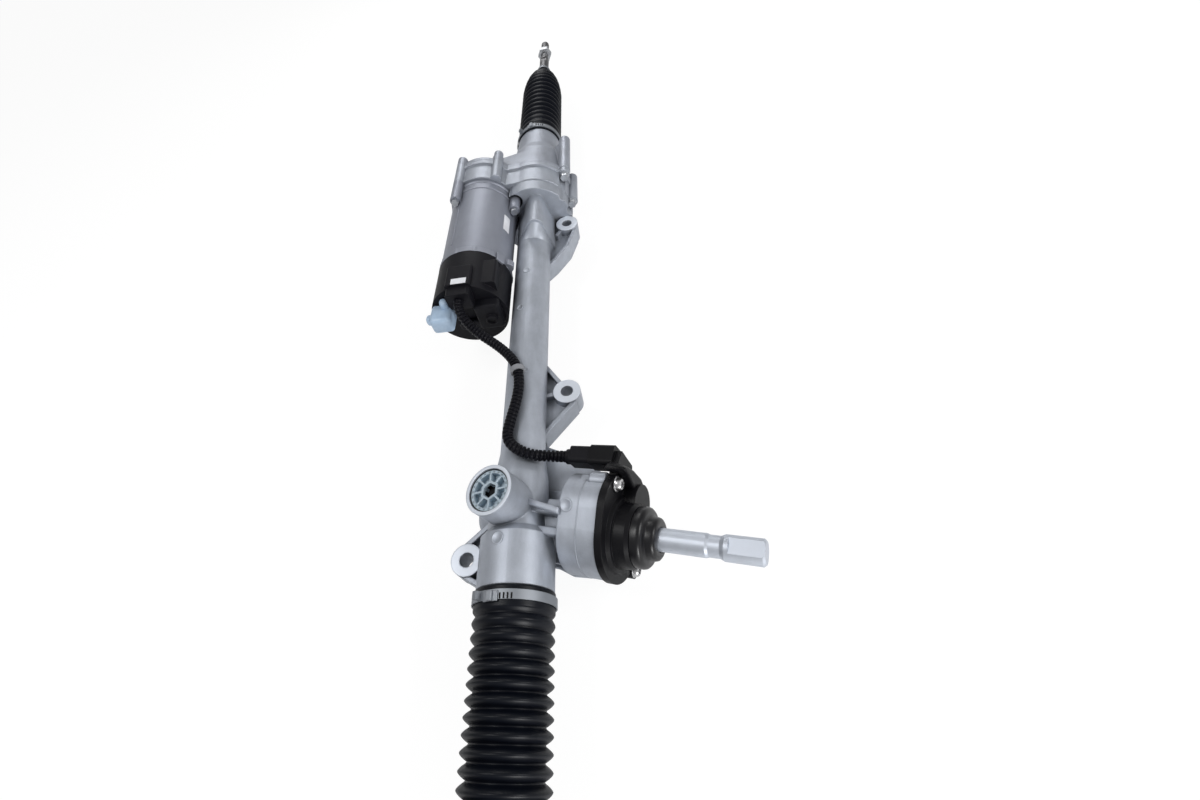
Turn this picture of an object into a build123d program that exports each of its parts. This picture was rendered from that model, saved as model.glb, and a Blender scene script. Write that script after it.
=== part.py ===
"""Electric power-steering rack with a belt-driven ball nut beside the rack.

Frame, in millimetres: the origin is the centre of the near mounting ear's top face, on its bolt axis.
+X runs along the rack from the pinion end to the motor end, +Y to the motor's side and +Z out of the
ears' top faces. The housing is drawn first, then the rack, its rods, the pinion, the drive and the wiring.
"""

from build123d import *
from math import acos, cos, pi, radians, sin, sqrt, tan
import os

os.makedirs("parts", exist_ok=True)

# ---------------------------------------------------------------- fits
RUN = 0.05  # radial clearance of a shaft that turns or slides in its bore
SEAT = 0.05  # clearance between a fixed piece and its seat
AIR = 0.3  # gap between pieces that only lie near each other

# ---------------------------------------------------------------- rack, ears and stations along the rack
RACK_Y = -43.0
RACK_R = 14.5
RACK_TRAVEL = 75.0
NEAR_FACE_X = -58.0  # the rack's two end faces, at mid travel
FAR_FACE_X = 629.0
EAR_BOLT_R = 6.1
EAR_R = 13.5
EAR_DEPTH = 24.0
NEAR_EAR = (0.0, 0.0)
MID_EAR = (160.5, -83.5)
FAR_EAR = (418.5, -83.5)
LIP_R = 32.0  # outer radius of a bellows lip
NEAR_LIP_X = -28.0
FAR_LIP_X = 599.0
COLLAR = 14.0  # length of the bellows collar on its spigot
COLLAR_WALL = 2.7
SPIGOT_R = LIP_R - COLLAR_WALL - SEAT
NEAR_BODY_R = 31.0
NEAR_BODY_END_X = 14.0
THROAT_R = 24.0
TUBE_R = 20.5
TUBE_BORE_R = RACK_R + 1.5
POCKET_R = 22.0  # the bore that swallows an inner joint at full travel
BELL_X = 383.0
BELL_LEAD = 10.0
BELL_ROUNDS = ((0, 0, 21.0), (-7.0, 28.0, 10.0), (-11.0, -6.0, 14.0), (-8.0, -26.0, 12.0))  # y, z, radius
CASE_X = 450.0
DRUM_X = 432.0  # near end of the drum before the belt case, round the rack only
SPLIT_X = 484.0
CASE_R = 48.0
FLANGE = 6.0  # thickness of the joint flange on each side of the split
CASE_WALL = 4.5
COVER_SHOULDER_X = 546.0

# ---------------------------------------------------------------- yoke and pinion
YOKE_X = 40.0
PINION_X = 36.0
YOKE_TILT = radians(17)  # the yoke leans this far from +Z towards +Y
PINION_TILT = radians(15)  # the pinion leans this far from square to the rack
TOWER_R = 21.0
TOWER_HEIGHT = 49.0
YOKE_R = 15.5
MODULE = 2.15
PINION_TEETH = 8
PRESSURE = radians(25)
BACKLASH = 0.2
RACK_TOOTH = 2.9  # thickness of a rack tooth on the pitch line
RACK_ADDENDUM = 1.4
PINION_ADDENDUM = 2.2
ROOT_GAP = 0.35
RACK_PITCH_HEIGHT = 10.6  # rack axis to the pitch line
TOOTH_PITCH = pi * MODULE
PINION_PITCH_R = PINION_TEETH * MODULE / 2 / cos(PINION_TILT)
PINION_TIP_R = PINION_PITCH_R + PINION_ADDENDUM
PINION_ROOT_R = PINION_PITCH_R - RACK_ADDENDUM - ROOT_GAP
PINION_FACE = 30.0
UPPER_BEARING = (22.0, 34.0)  # stations of the bearings along the pinion
LOWER_BEARING = (-31.0, -21.0)
UPPER_BEARING_R = 18.0
LOWER_BEARING_R = 12.0
JOURNAL_R = 9.5
LOWER_JOURNAL_R = 6.0
SENSOR_FROM = 47.0  # sensor housing, along the pinion
SENSOR_TO = 80.0
SENSOR_R = 36.0
SENSOR_WALL = 4.0
SENSOR_BULGE = (14.0, 12.0)
SENSOR_BULGE_R = 28.0
COVER_FLANGE = 6.0
SHAFT_R = 8.8
SHAFT_TIP_R = 9.5
TIP_FLAT = 7.6  # from the axis to each flat of the tip
BOOT_R = 23.5
BOOT_TIP_R = 12.5
BOOT_TO = 118.0
SHAFT_TO = 192.0
TORSION_R = 2.6
SENSOR_SCREWS = ((31.0, 28.0), (-18.0, -36.5), (28.0, -29.5))
SENSOR_BOSS_R = 6.5

# ---------------------------------------------------------------- ball nut, belt and motor
NUT_FROM_X = 456.0
NUT_TO_X = 541.0
NUT_R = 22.0
NUT_BORE_R = RACK_R + 0.6
SCREW_FROM_X = 378.0
SCREW_TO_X = 618.0
SCREW_R = 12.6  # root of the ball track
BALL_R = 2.75
BALLS = 14
BALLS_X = 528.0
NUT_BEARING_R = 34.0
NUT_BEARING_X = 494.0
NUT_BEARING_WIDTH = 22.0
BELT_X = 458.0
BELT_WIDTH = 22.0
NUT_PULLEY_R = 36.0
MOTOR_PULLEY_R = 12.0
BELT_THICK = 2.2
MOTOR_Y = 20.0
MOTOR_Z = 17.0
MOTOR_R = 41.0
MOTOR_WALL = 3.0
MOTOR_FROM_X = 317.0
CASE_MOTOR_R = 44.5
BELT_END_R = 22.5  # inside of the belt case round the motor pulley
ROTOR_R = 23.4
STATOR_BORE_R = 24.0
MOTOR_SHAFT_R = 6.0
MOTOR_BEARING_R = 13.0
ECU_X = 262.0
ECU_R = 42.0
ECU_WALL = 2.5

# ---------------------------------------------------------------- rods and bellows
JOINT_R = 19.3
JOINT_LENGTH = 40.0
WASHER = 3.0
BALL_AT = 22.0  # ball centre, outward from the rack's end face
ROD_BALL_R = 13.0
SEAT_WALL = 1.2
ROD_R = 8.0
ROD_NECK_R = 7.4
ROD_THREAD_R = 7.0
ROD_LENGTH = 300.0  # outward from the ball
ROD_THREAD_FROM = ROD_LENGTH - 64.0
LOCK_NUT_FROM = ROD_LENGTH - 42.0
LOCK_NUT = 9.0
ROD_RUNOUT_R = 6.4  # relieved stretch under the lock nut, below the free thread
BELLOWS_LENGTH = 248.0
BELLOWS_WALL = 1.8
CUFF = 16.0

# ---------------------------------------------------------------- conduit
CONDUIT_R = 5.0

# ---------------------------------------------------------------- planes and axes
ALONG = Vector(1, 0, 0)
YOKE_DIR = Vector(0, sin(YOKE_TILT), cos(YOKE_TILT))
TOOTH_DIR = Vector(0, -cos(YOKE_TILT), sin(YOKE_TILT))
PINION_DIR = TOOTH_DIR * cos(PINION_TILT) - ALONG * sin(PINION_TILT)
PINION_SIDEWAYS = YOKE_DIR.cross(PINION_DIR)
PINION_AT = Vector(PINION_X, RACK_Y, 0) - YOKE_DIR * (RACK_PITCH_HEIGHT + PINION_PITCH_R)
YOKE_AT = Vector(YOKE_X, RACK_Y, 0)
MOTOR_AT = (MOTOR_Y - RACK_Y, MOTOR_Z)  # motor axis seen from the rack axis

RACK_SIDE = Plane(origin=(0, RACK_Y, 0), x_dir=(1, 0, 0), z_dir=(0, -1, 0))
RACK_TEETH = Plane(origin=(0, RACK_Y, 0), x_dir=ALONG, z_dir=-TOOTH_DIR)
MOTOR_SIDE = Plane(origin=(0, MOTOR_Y, MOTOR_Z), x_dir=(1, 0, 0), z_dir=(0, -1, 0))
YOKE = Plane(origin=YOKE_AT, x_dir=ALONG, z_dir=YOKE_DIR)
YOKE_SIDE = Plane(origin=YOKE_AT, x_dir=YOKE_DIR, z_dir=-TOOTH_DIR)
PINION = Plane(origin=PINION_AT, x_dir=PINION_SIDEWAYS, z_dir=PINION_DIR)
PINION_SIDE = Plane(origin=PINION_AT, x_dir=PINION_DIR, z_dir=-PINION_SIDEWAYS)
RACK_AXIS = Axis((0, RACK_Y, 0), (1, 0, 0))
MOTOR_AXIS = Axis((0, MOTOR_Y, MOTOR_Z), (1, 0, 0))
YOKE_AXIS = Axis(YOKE_AT, YOKE_DIR)
PINION_AXIS = Axis(PINION_AT, PINION_DIR)


def across(x, y=RACK_Y, z=0.0):
    """Plane square to the rack that faces +X; its own axes point along +Y and +Z."""
    return Plane(origin=(x, y, z), x_dir=(0, 1, 0), z_dir=(1, 0, 0))


def outline(plane, points):
    """Closed straight-sided face on a plane."""
    with BuildSketch(plane) as face:
        with BuildLine():
            Polyline(*points, close=True)
        make_face()
    return face.sketch


def disc(plane, radius, hole=0.0, at=((0, 0),)):
    """Round faces, or rings where a hole is given, at places on a plane."""
    with BuildSketch(plane) as face:
        with Locations(*at):
            Circle(radius)
            if hole:
                Circle(hole, mode=Mode.SUBTRACT)
    return face.sketch


def band(plane, start, end, outer, inner=0.0):
    """Face from start to end along an axis and from inner to outer across it, ready to revolve."""
    return outline(plane, [(start, inner), (end, inner), (end, outer), (start, outer)])


def rib(points, thick, bottom):
    """Plan of an upright rib that follows points."""
    with BuildSketch(Plane.XY.offset(bottom)) as plan:
        with BuildLine():
            Polyline(*points)
        trace(line_width=thick)
    return plan.sketch


def two_round_hull(plane, rack_radius, motor_radius):
    """Hull of a circle round the rack and one round the motor."""
    with BuildSketch(plane) as face:
        Circle(rack_radius)
        with Locations(MOTOR_AT):
            Circle(motor_radius)
        make_hull()
    return face.sketch


def case_outline(plane, grow=0.0):
    """Belt-case outline: a circle round the rack, one round the motor and a lower waist over the belt."""
    with BuildSketch(plane) as face:
        Circle(CASE_R - 1 + grow)
        with Locations(MOTOR_AT):
            Circle(BELT_END_R + CASE_WALL + grow)
        make_hull()
        Circle(CASE_R + grow)
        with Locations(MOTOR_AT):
            Circle(CASE_MOTOR_R + grow)
    return face.sketch


def bell_outline(plane, grow):
    """Outline of the bell: the hull of four circles."""
    with BuildSketch(plane) as face:
        for y, z, radius in BELL_ROUNDS:
            with Locations((y, z)):
                Circle(radius + grow)
        make_hull()
    return face.sketch


def case_screws():
    """Belt-cover screws: place seen from the rack axis, and X of the face under the head."""
    places = [((CASE_R + beyond) * cos(radians(turn)), (CASE_R + beyond) * sin(radians(turn)), CASE_X + sunk)
              for turn, beyond, sunk in RACK_SCREWS]
    places += [(MOTOR_AT[0] + (CASE_MOTOR_R + 3.5) * cos(radians(turn)),
                MOTOR_AT[1] + (CASE_MOTOR_R + 3.5) * sin(radians(turn)), CASE_X) for turn in MOTOR_SIDE_SCREWS]
    return places


def sensor_outline(plane, grow=0.0):
    """Outline of the sensor housing, with its bulge towards the plug."""
    with BuildSketch(plane) as face:
        Circle(SENSOR_R + grow)
        with Locations(SENSOR_BULGE):
            Circle(SENSOR_BULGE_R + grow)
        make_hull()
    return face.sketch


RACK_SCREWS = ((145, 3.5, 26.0), (171, 1.5, 0), (232, 1.5, 0), (292, 1.5, 0))  # turn, beyond the case, head sunk
MOTOR_SIDE_SCREWS = (-40, -85)
MOTOR_BOSSES = ((-43.7, 15.0), (23.7, 39.6), (23.0, -40.0))
MOTOR_BOSS_R = 6.5
DOWEL_AT = (40.0, 54.0)  # dowel boss of the belt case, seen from the rack axis
DOWEL_BOSS_R = 7.0

# ---------------------------------------------------------------- main housing: one aluminium casting
CASE_SCREW_R = 7.0
FIN_TOP = 35.0
HEAD_ROOM_R = 6.8
SCREW_R_M6 = 3.0
SCREW_DEPTH = 12.0
with BuildPart() as main_housing:
    revolve(outline(RACK_SIDE, [
        (NEAR_LIP_X - COLLAR - 1, 0), (NEAR_LIP_X - COLLAR - 1, SPIGOT_R), (NEAR_LIP_X, SPIGOT_R),
        (NEAR_LIP_X + 1, NEAR_BODY_R), (NEAR_BODY_END_X, NEAR_BODY_R), (NEAR_BODY_END_X + 6, THROAT_R + 2),
        (68, THROAT_R), (92, TUBE_R), (CASE_X + 4, TUBE_R), (CASE_X + 4, 0)]), axis=RACK_AXIS)
    # bell before the belt case, flat on top and clear of the far ear's bolt
    extrude(bell_outline(across(BELL_X), 0), amount=CASE_X - BELL_X + 1)
    loft([disc(across(BELL_X - BELL_LEAD), TUBE_R - 0.2), bell_outline(across(BELL_X + 1), -2)])
    # drum round the rack, cut away round the motor and its boss
    with BuildSketch(across(DRUM_X)):
        Circle(CASE_R - 1)
        with Locations(MOTOR_AT):
            Circle(MOTOR_R + 3, mode=Mode.SUBTRACT)
        with Locations([(MOTOR_AT[0] + y, MOTOR_AT[1] + z) for y, z in MOTOR_BOSSES]):
            Circle(MOTOR_BOSS_R + 3, mode=Mode.SUBTRACT)
        with Locations((-CASE_R, -CASE_R)):
            Rectangle(2 * CASE_R - 30, 2 * CASE_R - 12, mode=Mode.SUBTRACT)
    extrude(amount=CASE_X - DRUM_X + 1)
    # belt case with its joint flange, screw bosses and dowel boss
    extrude(case_outline(across(CASE_X)), amount=SPLIT_X - CASE_X)
    extrude(case_outline(across(SPLIT_X - FLANGE), 2), amount=FLANGE)
    for y, z, head_x in case_screws():
        extrude(disc(across(DRUM_X - 1), HEAD_ROOM_R, at=((y, z),)), amount=head_x - DRUM_X + 1, mode=Mode.SUBTRACT)
        extrude(disc(across(head_x), CASE_SCREW_R, at=((y, z),)), amount=SPLIT_X - head_x)
    extrude(disc(across(CASE_X), DOWEL_BOSS_R, at=(DOWEL_AT,)), amount=SPLIT_X - CASE_X)
    extrude(disc(across(CASE_X, MOTOR_Y, MOTOR_Z), MOTOR_BOSS_R, at=MOTOR_BOSSES), amount=SPLIT_X - CASE_X)
    # mounting ears, each on a deep block
    with Locations(*[(x, y, -EAR_DEPTH) for x, y in (NEAR_EAR, MID_EAR, FAR_EAR)]):
        Cylinder(EAR_R, EAR_DEPTH, align=(Align.CENTER, Align.CENTER, Align.MIN))
    # webs from the ears to the body, with upright ribs on their edges
    for web in ([(-11, 6), (-24, -20), (36, -26), (11, 7)],
                [(150, -90), (112, -58), (200, -56), (172, -76)],
                [(409, -92), (344, -60), (452, -60), (452, -80), (428, -92)]):
        extrude(outline(Plane.XY.offset(-18), [(x, y) for x, y in web]), amount=9)
    for run in ([(-10, 5), (-23, -18)], [(10, 5), (33, -20)],
                [(150, -91), (113, -60)], [(172, -77), (200, -58)], [(160, -82), (158, -56)],
                [(409, -93), (380, -84), (356, -68), (345, -58)], [(428, -90), (450, -84)],
                [(410, -76), (400, -70)]):
        extrude(rib(run, 4.0, -EAR_DEPTH), amount=EAR_DEPTH - 2)
    # yoke tower, pinion housing and sensor housing
    extrude(disc(YOKE, TOWER_R), amount=TOWER_HEIGHT)
    revolve(outline(PINION_SIDE, [
        (-46, 0), (-46, 15), (-42, 16.5), (-14, 18), (-8, 22), (44, 22), (SENSOR_FROM, 24), (SENSOR_FROM, 0)]),
        axis=PINION_AXIS)
    extrude(sensor_outline(PINION.offset(SENSOR_FROM)), amount=SENSOR_TO - SENSOR_FROM)
    extrude(disc(PINION.offset(SENSOR_TO - 22), SENSOR_BOSS_R, at=SENSOR_SCREWS), amount=22)
    # shelf under the sensor housing
    extrude(outline(Plane.XY.offset(-26), [(2, -60), (1, -72), (-7, -93), (-10, -112), (24, -112), (30, -60)]), amount=5)
    # ribs that brace the tower and the sensor housing
    with BuildSketch(PINION.offset(8)):
        with Locations((3, FIN_TOP / 2)):
            Rectangle(3.6, FIN_TOP)
    extrude(amount=SENSOR_FROM - 8 + 2)
    with BuildSketch(PINION.offset(10)):
        with Locations((0, 0)):
            Rectangle(60, 4)
    extrude(amount=SENSOR_FROM - 10 + 2)
    # bores along the rack
    revolve(band(RACK_SIDE, NEAR_LIP_X - COLLAR - 2, CASE_X + 5, TUBE_BORE_R), axis=RACK_AXIS, mode=Mode.SUBTRACT)
    revolve(band(RACK_SIDE, NEAR_LIP_X - COLLAR - 2, NEAR_FACE_X + RACK_TRAVEL, POCKET_R), axis=RACK_AXIS,
            mode=Mode.SUBTRACT)
    # inside of the belt case and the motor's pilot bore
    extrude(two_round_hull(across(CASE_X + CASE_WALL), CASE_R - CASE_WALL, BELT_END_R), mode=Mode.SUBTRACT,
            amount=SPLIT_X - CASE_X)
    extrude(disc(across(CASE_X - 1), 20 + SEAT, at=(MOTOR_AT,)), amount=12, mode=Mode.SUBTRACT)
    # yoke bore, pinion bore, bearing seats and sensor cavity
    extrude(disc(YOKE, YOKE_R + RUN), amount=TOWER_HEIGHT + 1, mode=Mode.SUBTRACT)
    extrude(disc(YOKE.offset(TOWER_HEIGHT - 13), 18 + SEAT), amount=14, mode=Mode.SUBTRACT)
    revolve(outline(PINION_SIDE, [
        (-47, 0), (-47, LOWER_BEARING_R + SEAT),
        (LOWER_BEARING[1], LOWER_BEARING_R + SEAT), (LOWER_BEARING[1], PINION_TIP_R + 1),
        (UPPER_BEARING[0], PINION_TIP_R + 1), (UPPER_BEARING[0], UPPER_BEARING_R + SEAT),
        (SENSOR_FROM + SENSOR_WALL, UPPER_BEARING_R + SEAT), (SENSOR_FROM + SENSOR_WALL, SENSOR_R - SENSOR_WALL),
        (SENSOR_TO + 1, SENSOR_R - SENSOR_WALL), (SENSOR_TO + 1, 0)]), axis=PINION_AXIS, mode=Mode.SUBTRACT)
    # bolt holes
    with Locations(*[(x, y, -EAR_DEPTH) for x, y in (NEAR_EAR, MID_EAR, FAR_EAR)]):
        Cylinder(EAR_BOLT_R, 3 * EAR_DEPTH, mode=Mode.SUBTRACT)
    for y, z, head_x in case_screws():
        extrude(disc(across(head_x - 1), SCREW_R_M6 + 0.3, at=((y, z),)), amount=SPLIT_X - head_x + 2,
                mode=Mode.SUBTRACT)
    extrude(disc(across(CASE_X - 1, MOTOR_Y, MOTOR_Z), 2.6, at=MOTOR_BOSSES), amount=12, mode=Mode.SUBTRACT)
    extrude(disc(PINION.offset(SENSOR_TO), 2.5 + SEAT, at=SENSOR_SCREWS), amount=-14, mode=Mode.SUBTRACT)
main_housing.part.label = "main_housing"
export_step(main_housing.part, "parts/main_housing.step")
print("main_housing", len(main_housing.part.solids()), round(main_housing.part.volume / 1000))

# ---------------------------------------------------------------- belt cover: the far half of the belt case
LONG_BOSS = 72.0
with BuildPart() as belt_cover:
    extrude(case_outline(across(SPLIT_X), 2), amount=FLANGE)
    loft([two_round_hull(across(SPLIT_X + FLANGE), CASE_R - 1, CASE_MOTOR_R - 12),
          two_round_hull(across(SPLIT_X + 44), CASE_R - 6, 16)])
    revolve(outline(RACK_SIDE, [
        (SPLIT_X + 30, 0), (SPLIT_X + 30, CASE_R - 5), (COVER_SHOULDER_X - 6, CASE_R - 8), (COVER_SHOULDER_X + 14, 34),
        (FAR_LIP_X - 4, NEAR_BODY_R), (FAR_LIP_X, NEAR_BODY_R), (FAR_LIP_X, SPIGOT_R),
        (FAR_LIP_X + COLLAR + 1, SPIGOT_R), (FAR_LIP_X + COLLAR + 1, 0)]), axis=RACK_AXIS)
    # blind screw bosses, the first one long and webbed to the neck, and the stepped dowel boss
    screw_places = [(y, z) for y, z, head_x in case_screws()]
    extrude(disc(across(SPLIT_X), CASE_SCREW_R, at=screw_places[1:]), amount=SCREW_DEPTH + 5)
    extrude(disc(across(SPLIT_X), CASE_SCREW_R + 0.5, at=screw_places[:1]), amount=LONG_BOSS)
    with BuildSketch(across(SPLIT_X)):
        with BuildLine():
            Polyline((0, 0), screw_places[0])
        trace(line_width=9)
    extrude(amount=LONG_BOSS - 4)
    extrude(disc(across(SPLIT_X), DOWEL_BOSS_R, at=(DOWEL_AT,)), amount=12)
    extrude(disc(across(SPLIT_X), DOWEL_BOSS_R - 1, at=(DOWEL_AT,)), amount=22)
    extrude(disc(across(SPLIT_X, MOTOR_Y, MOTOR_Z), MOTOR_BOSS_R, at=MOTOR_BOSSES[1:2]), amount=16)
    # belt space, bearing seat, nut bore, rack bore and the pocket that swallows the far inner joint
    extrude(two_round_hull(across(SPLIT_X - 1), CASE_R - CASE_WALL, BELT_END_R), amount=4, mode=Mode.SUBTRACT)
    revolve(band(RACK_SIDE, SPLIT_X, NUT_BEARING_X + NUT_BEARING_WIDTH, NUT_BEARING_R + SEAT), axis=RACK_AXIS,
            mode=Mode.SUBTRACT)
    revolve(band(RACK_SIDE, SPLIT_X, NUT_TO_X + 2, NUT_R + 5), axis=RACK_AXIS, mode=Mode.SUBTRACT)
    revolve(band(RACK_SIDE, SPLIT_X - 1, FAR_LIP_X + COLLAR + 2, TUBE_BORE_R), axis=RACK_AXIS, mode=Mode.SUBTRACT)
    revolve(band(RACK_SIDE, FAR_FACE_X - RACK_TRAVEL, FAR_LIP_X + COLLAR + 2, POCKET_R), axis=RACK_AXIS,
            mode=Mode.SUBTRACT)
    extrude(disc(across(SPLIT_X - 1), SCREW_R_M6 + SEAT, at=screw_places), amount=SCREW_DEPTH + 2,
            mode=Mode.SUBTRACT)
belt_cover.part.label = "belt_cover"
export_step(belt_cover.part, "parts/belt_cover.step")

with BuildPart() as belt_cover_screws:
    for y, z, head_x in case_screws():
        extrude(disc(across(head_x, RACK_Y + y, z), SCREW_R_M6), amount=SPLIT_X - head_x + SCREW_DEPTH)
        extrude(disc(across(head_x, RACK_Y + y, z), 6.0), amount=-1.5)
        with BuildSketch(across(head_x - 1.5, RACK_Y + y, z)):
            RegularPolygon(5.2, 6)
        extrude(amount=-5)
belt_cover_screws.part.label = "belt_cover_screws"
export_step(belt_cover_screws.part, "parts/belt_cover_screws.step")

# ---------------------------------------------------------------- yoke, spring, seal and adjusting plug
PLUG_R = 18.0
PLUG_SEAT = TOWER_HEIGHT - 13
YOKE_TOP = 30.0
with BuildPart() as yoke:
    extrude(disc(YOKE.offset(3), YOKE_R), amount=YOKE_TOP - 3)
    # saddle on the rack's back, and the spring pocket
    revolve(band(RACK_SIDE, YOKE_X - 20, YOKE_X + 20, RACK_R + RUN), axis=RACK_AXIS, mode=Mode.SUBTRACT)
    extrude(disc(YOKE.offset(YOKE_TOP), 8.5), amount=-11, mode=Mode.SUBTRACT)
    extrude(disc(YOKE.offset(22), YOKE_R + 1, YOKE_R - 1.5), amount=2.4, mode=Mode.SUBTRACT)
yoke.part.label = "yoke"
export_step(yoke.part, "parts/yoke.step")

with BuildPart() as yoke_o_ring:
    revolve(band(YOKE_SIDE, 22.2, 24.2, YOKE_R + RUN / 2, YOKE_R - 1.4), axis=YOKE_AXIS)
yoke_o_ring.part.label = "yoke_o_ring"
export_step(yoke_o_ring.part, "parts/yoke_o_ring.step")

SPRING_R = 7.0
SPRING_WIRE_R = 1.1
SPRING_TURNS = 3.5
SPRING_FROM = YOKE_TOP - 11 + SPRING_WIRE_R + SEAT
SPRING_TO = PLUG_SEAT - SPRING_WIRE_R - SEAT
with BuildPart() as yoke_spring:
    with BuildLine() as coil:
        Helix((SPRING_TO - SPRING_FROM) / SPRING_TURNS, SPRING_TO - SPRING_FROM, SPRING_R,
              center=YOKE_AT + YOKE_DIR * SPRING_FROM, direction=YOKE_DIR)
    with BuildSketch(Plane(origin=coil.line @ 0, z_dir=coil.line % 0)):
        RegularPolygon(SPRING_WIRE_R, 6)
    sweep(path=coil.line, is_frenet=True)
yoke_spring.part.label = "yoke_spring"
export_step(yoke_spring.part, "parts/yoke_spring.step")

PLUG_TOP = TOWER_HEIGHT - 1.5
with BuildPart() as yoke_plug:
    extrude(disc(YOKE.offset(PLUG_SEAT), PLUG_R), amount=PLUG_TOP - PLUG_SEAT)
    # face recess with a hexagon socket and radial ribs left standing
    with BuildSketch(YOKE.offset(PLUG_TOP)):
        Circle(14.5)
        RegularPolygon(8.6, 6, mode=Mode.SUBTRACT)
        with PolarLocations(10.5, 8):
            Rectangle(9.5, 1.6, mode=Mode.SUBTRACT)
    extrude(amount=-6, mode=Mode.SUBTRACT)
    with BuildSketch(YOKE.offset(PLUG_TOP)):
        RegularPolygon(6.4, 6)
    extrude(amount=-7, mode=Mode.SUBTRACT)
yoke_plug.part.label = "yoke_plug"
export_step(yoke_plug.part, "parts/yoke_plug.step")

# ---------------------------------------------------------------- rack bar, with real teeth
RACK_END_BORE_R = 8.0
RACK_END_BORE = 24.0
FIRST_TOOTH = -13
LAST_TOOTH = 13
TIP_LINE = RACK_PITCH_HEIGHT + RACK_ADDENDUM
ROOT_LINE = RACK_PITCH_HEIGHT - PINION_ADDENDUM - ROOT_GAP
SPACE = TOOTH_PITCH - RACK_TOOTH
tip_half = SPACE / 2 + RACK_ADDENDUM * tan(PRESSURE)
root_half = SPACE / 2 - (PINION_ADDENDUM + ROOT_GAP) * tan(PRESSURE)
comb = [(PINION_X + (FIRST_TOOTH - 0.6) * TOOTH_PITCH, TIP_LINE)]
for tooth in range(FIRST_TOOTH, LAST_TOOTH + 1):
    middle = PINION_X + tooth * TOOTH_PITCH
    comb += [(middle - tip_half, TIP_LINE), (middle - root_half, ROOT_LINE),
             (middle + root_half, ROOT_LINE), (middle + tip_half, TIP_LINE)]
comb += [(PINION_X + (LAST_TOOTH + 0.6) * TOOTH_PITCH, TIP_LINE),
         (PINION_X + (LAST_TOOTH + 0.6) * TOOTH_PITCH, RACK_R + 1),
         (PINION_X + (FIRST_TOOTH - 0.6) * TOOTH_PITCH, RACK_R + 1)]
with BuildPart() as rack_bar:
    revolve(outline(RACK_SIDE, [
        (NEAR_FACE_X, 0), (NEAR_FACE_X, RACK_R - 1), (NEAR_FACE_X + 1, RACK_R), (SCREW_FROM_X, RACK_R),
        (SCREW_FROM_X + 2, SCREW_R), (SCREW_TO_X - 2, SCREW_R), (SCREW_TO_X, RACK_R), (FAR_FACE_X - 1, RACK_R),
        (FAR_FACE_X, RACK_R - 1), (FAR_FACE_X, 0)]), axis=RACK_AXIS)
    extrude(outline(RACK_TEETH, comb), amount=RACK_R + 1, both=True, mode=Mode.SUBTRACT)
    for face_x, out in ((NEAR_FACE_X, -1), (FAR_FACE_X, 1)):
        revolve(band(RACK_SIDE, min(face_x, face_x - out * RACK_END_BORE), max(face_x, face_x - out * RACK_END_BORE),
                     RACK_END_BORE_R), axis=RACK_AXIS, mode=Mode.SUBTRACT)
rack_bar.part.label = "rack_bar"
export_step(rack_bar.part, "parts/rack_bar.step")

BUSH_X = 208.0
with BuildPart() as rack_bush:
    revolve(band(RACK_SIDE, BUSH_X, BUSH_X + 18, TUBE_BORE_R - SEAT / 2, RACK_R + RUN), axis=RACK_AXIS)
rack_bush.part.label = "rack_bush"
export_step(rack_bush.part, "parts/rack_bush.step")


# ---------------------------------------------------------------- pinion: eight helical involute teeth
def involute(angle):
    return tan(angle) - angle


TRANSVERSE = acos(cos(PRESSURE) / sqrt(cos(PRESSURE) ** 2 + (sin(PRESSURE) / cos(PINION_TILT)) ** 2))
BASE_R = PINION_PITCH_R * cos(TRANSVERSE)
PINION_TOOTH = (SPACE - BACKLASH) / cos(PINION_TILT)
TWIST = -tan(PINION_TILT) / PINION_PITCH_R  # radians a millimetre along the pinion
FLANK_STEPS = 4
TWIST_SECTIONS = 9


def half_tooth(radius):
    """Half the angle that a tooth covers at a radius."""
    at_base = PINION_TOOTH / 2 / PINION_PITCH_R + involute(TRANSVERSE)
    return at_base - involute(acos(min(1.0, BASE_R / radius)))


def pinion_section(station):
    """Transverse section of the toothed part, turned to its place on the helix."""
    flank = [BASE_R + (PINION_TIP_R - BASE_R) * step / FLANK_STEPS for step in range(FLANK_STEPS + 1)]
    points = []
    for tooth in range(PINION_TEETH):
        middle = pi / 2 + TWIST * station + 2 * pi * tooth / PINION_TEETH
        side = [(PINION_ROOT_R, half_tooth(BASE_R))] + [(r, half_tooth(r)) for r in flank]
        for r, half in side:
            points.append((r * cos(middle - half), r * sin(middle - half)))
        for r, half in reversed(side):
            points.append((r * cos(middle + half), r * sin(middle + half)))
    return outline(PINION.offset(station), points)


CUP_FROM = 36.0  # the pinion's cup, in which the input shaft's foot turns a few degrees
CUP_TO = 54.0
FOOT_R = 6.6
with BuildPart() as pinion:
    loft([pinion_section(PINION_FACE * (step / (TWIST_SECTIONS - 1) - 0.5)) for step in range(TWIST_SECTIONS)],
         ruled=True)
    revolve(band(PINION_SIDE, LOWER_BEARING[0] - 7, -PINION_FACE / 2 + 1, LOWER_JOURNAL_R - RUN), axis=PINION_AXIS)
    revolve(band(PINION_SIDE, PINION_FACE / 2 - 1, UPPER_BEARING[0], PINION_ROOT_R), axis=PINION_AXIS)
    revolve(band(PINION_SIDE, UPPER_BEARING[0] - 1, CUP_TO, JOURNAL_R - RUN), axis=PINION_AXIS)
    revolve(band(PINION_SIDE, CUP_FROM, CUP_TO + 1, FOOT_R + RUN), axis=PINION_AXIS, mode=Mode.SUBTRACT)
    revolve(band(PINION_SIDE, 8, CUP_TO, TORSION_R + SEAT), axis=PINION_AXIS, mode=Mode.SUBTRACT)
pinion.part.label = "pinion"
export_step(pinion.part, "parts/pinion.step")

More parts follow.
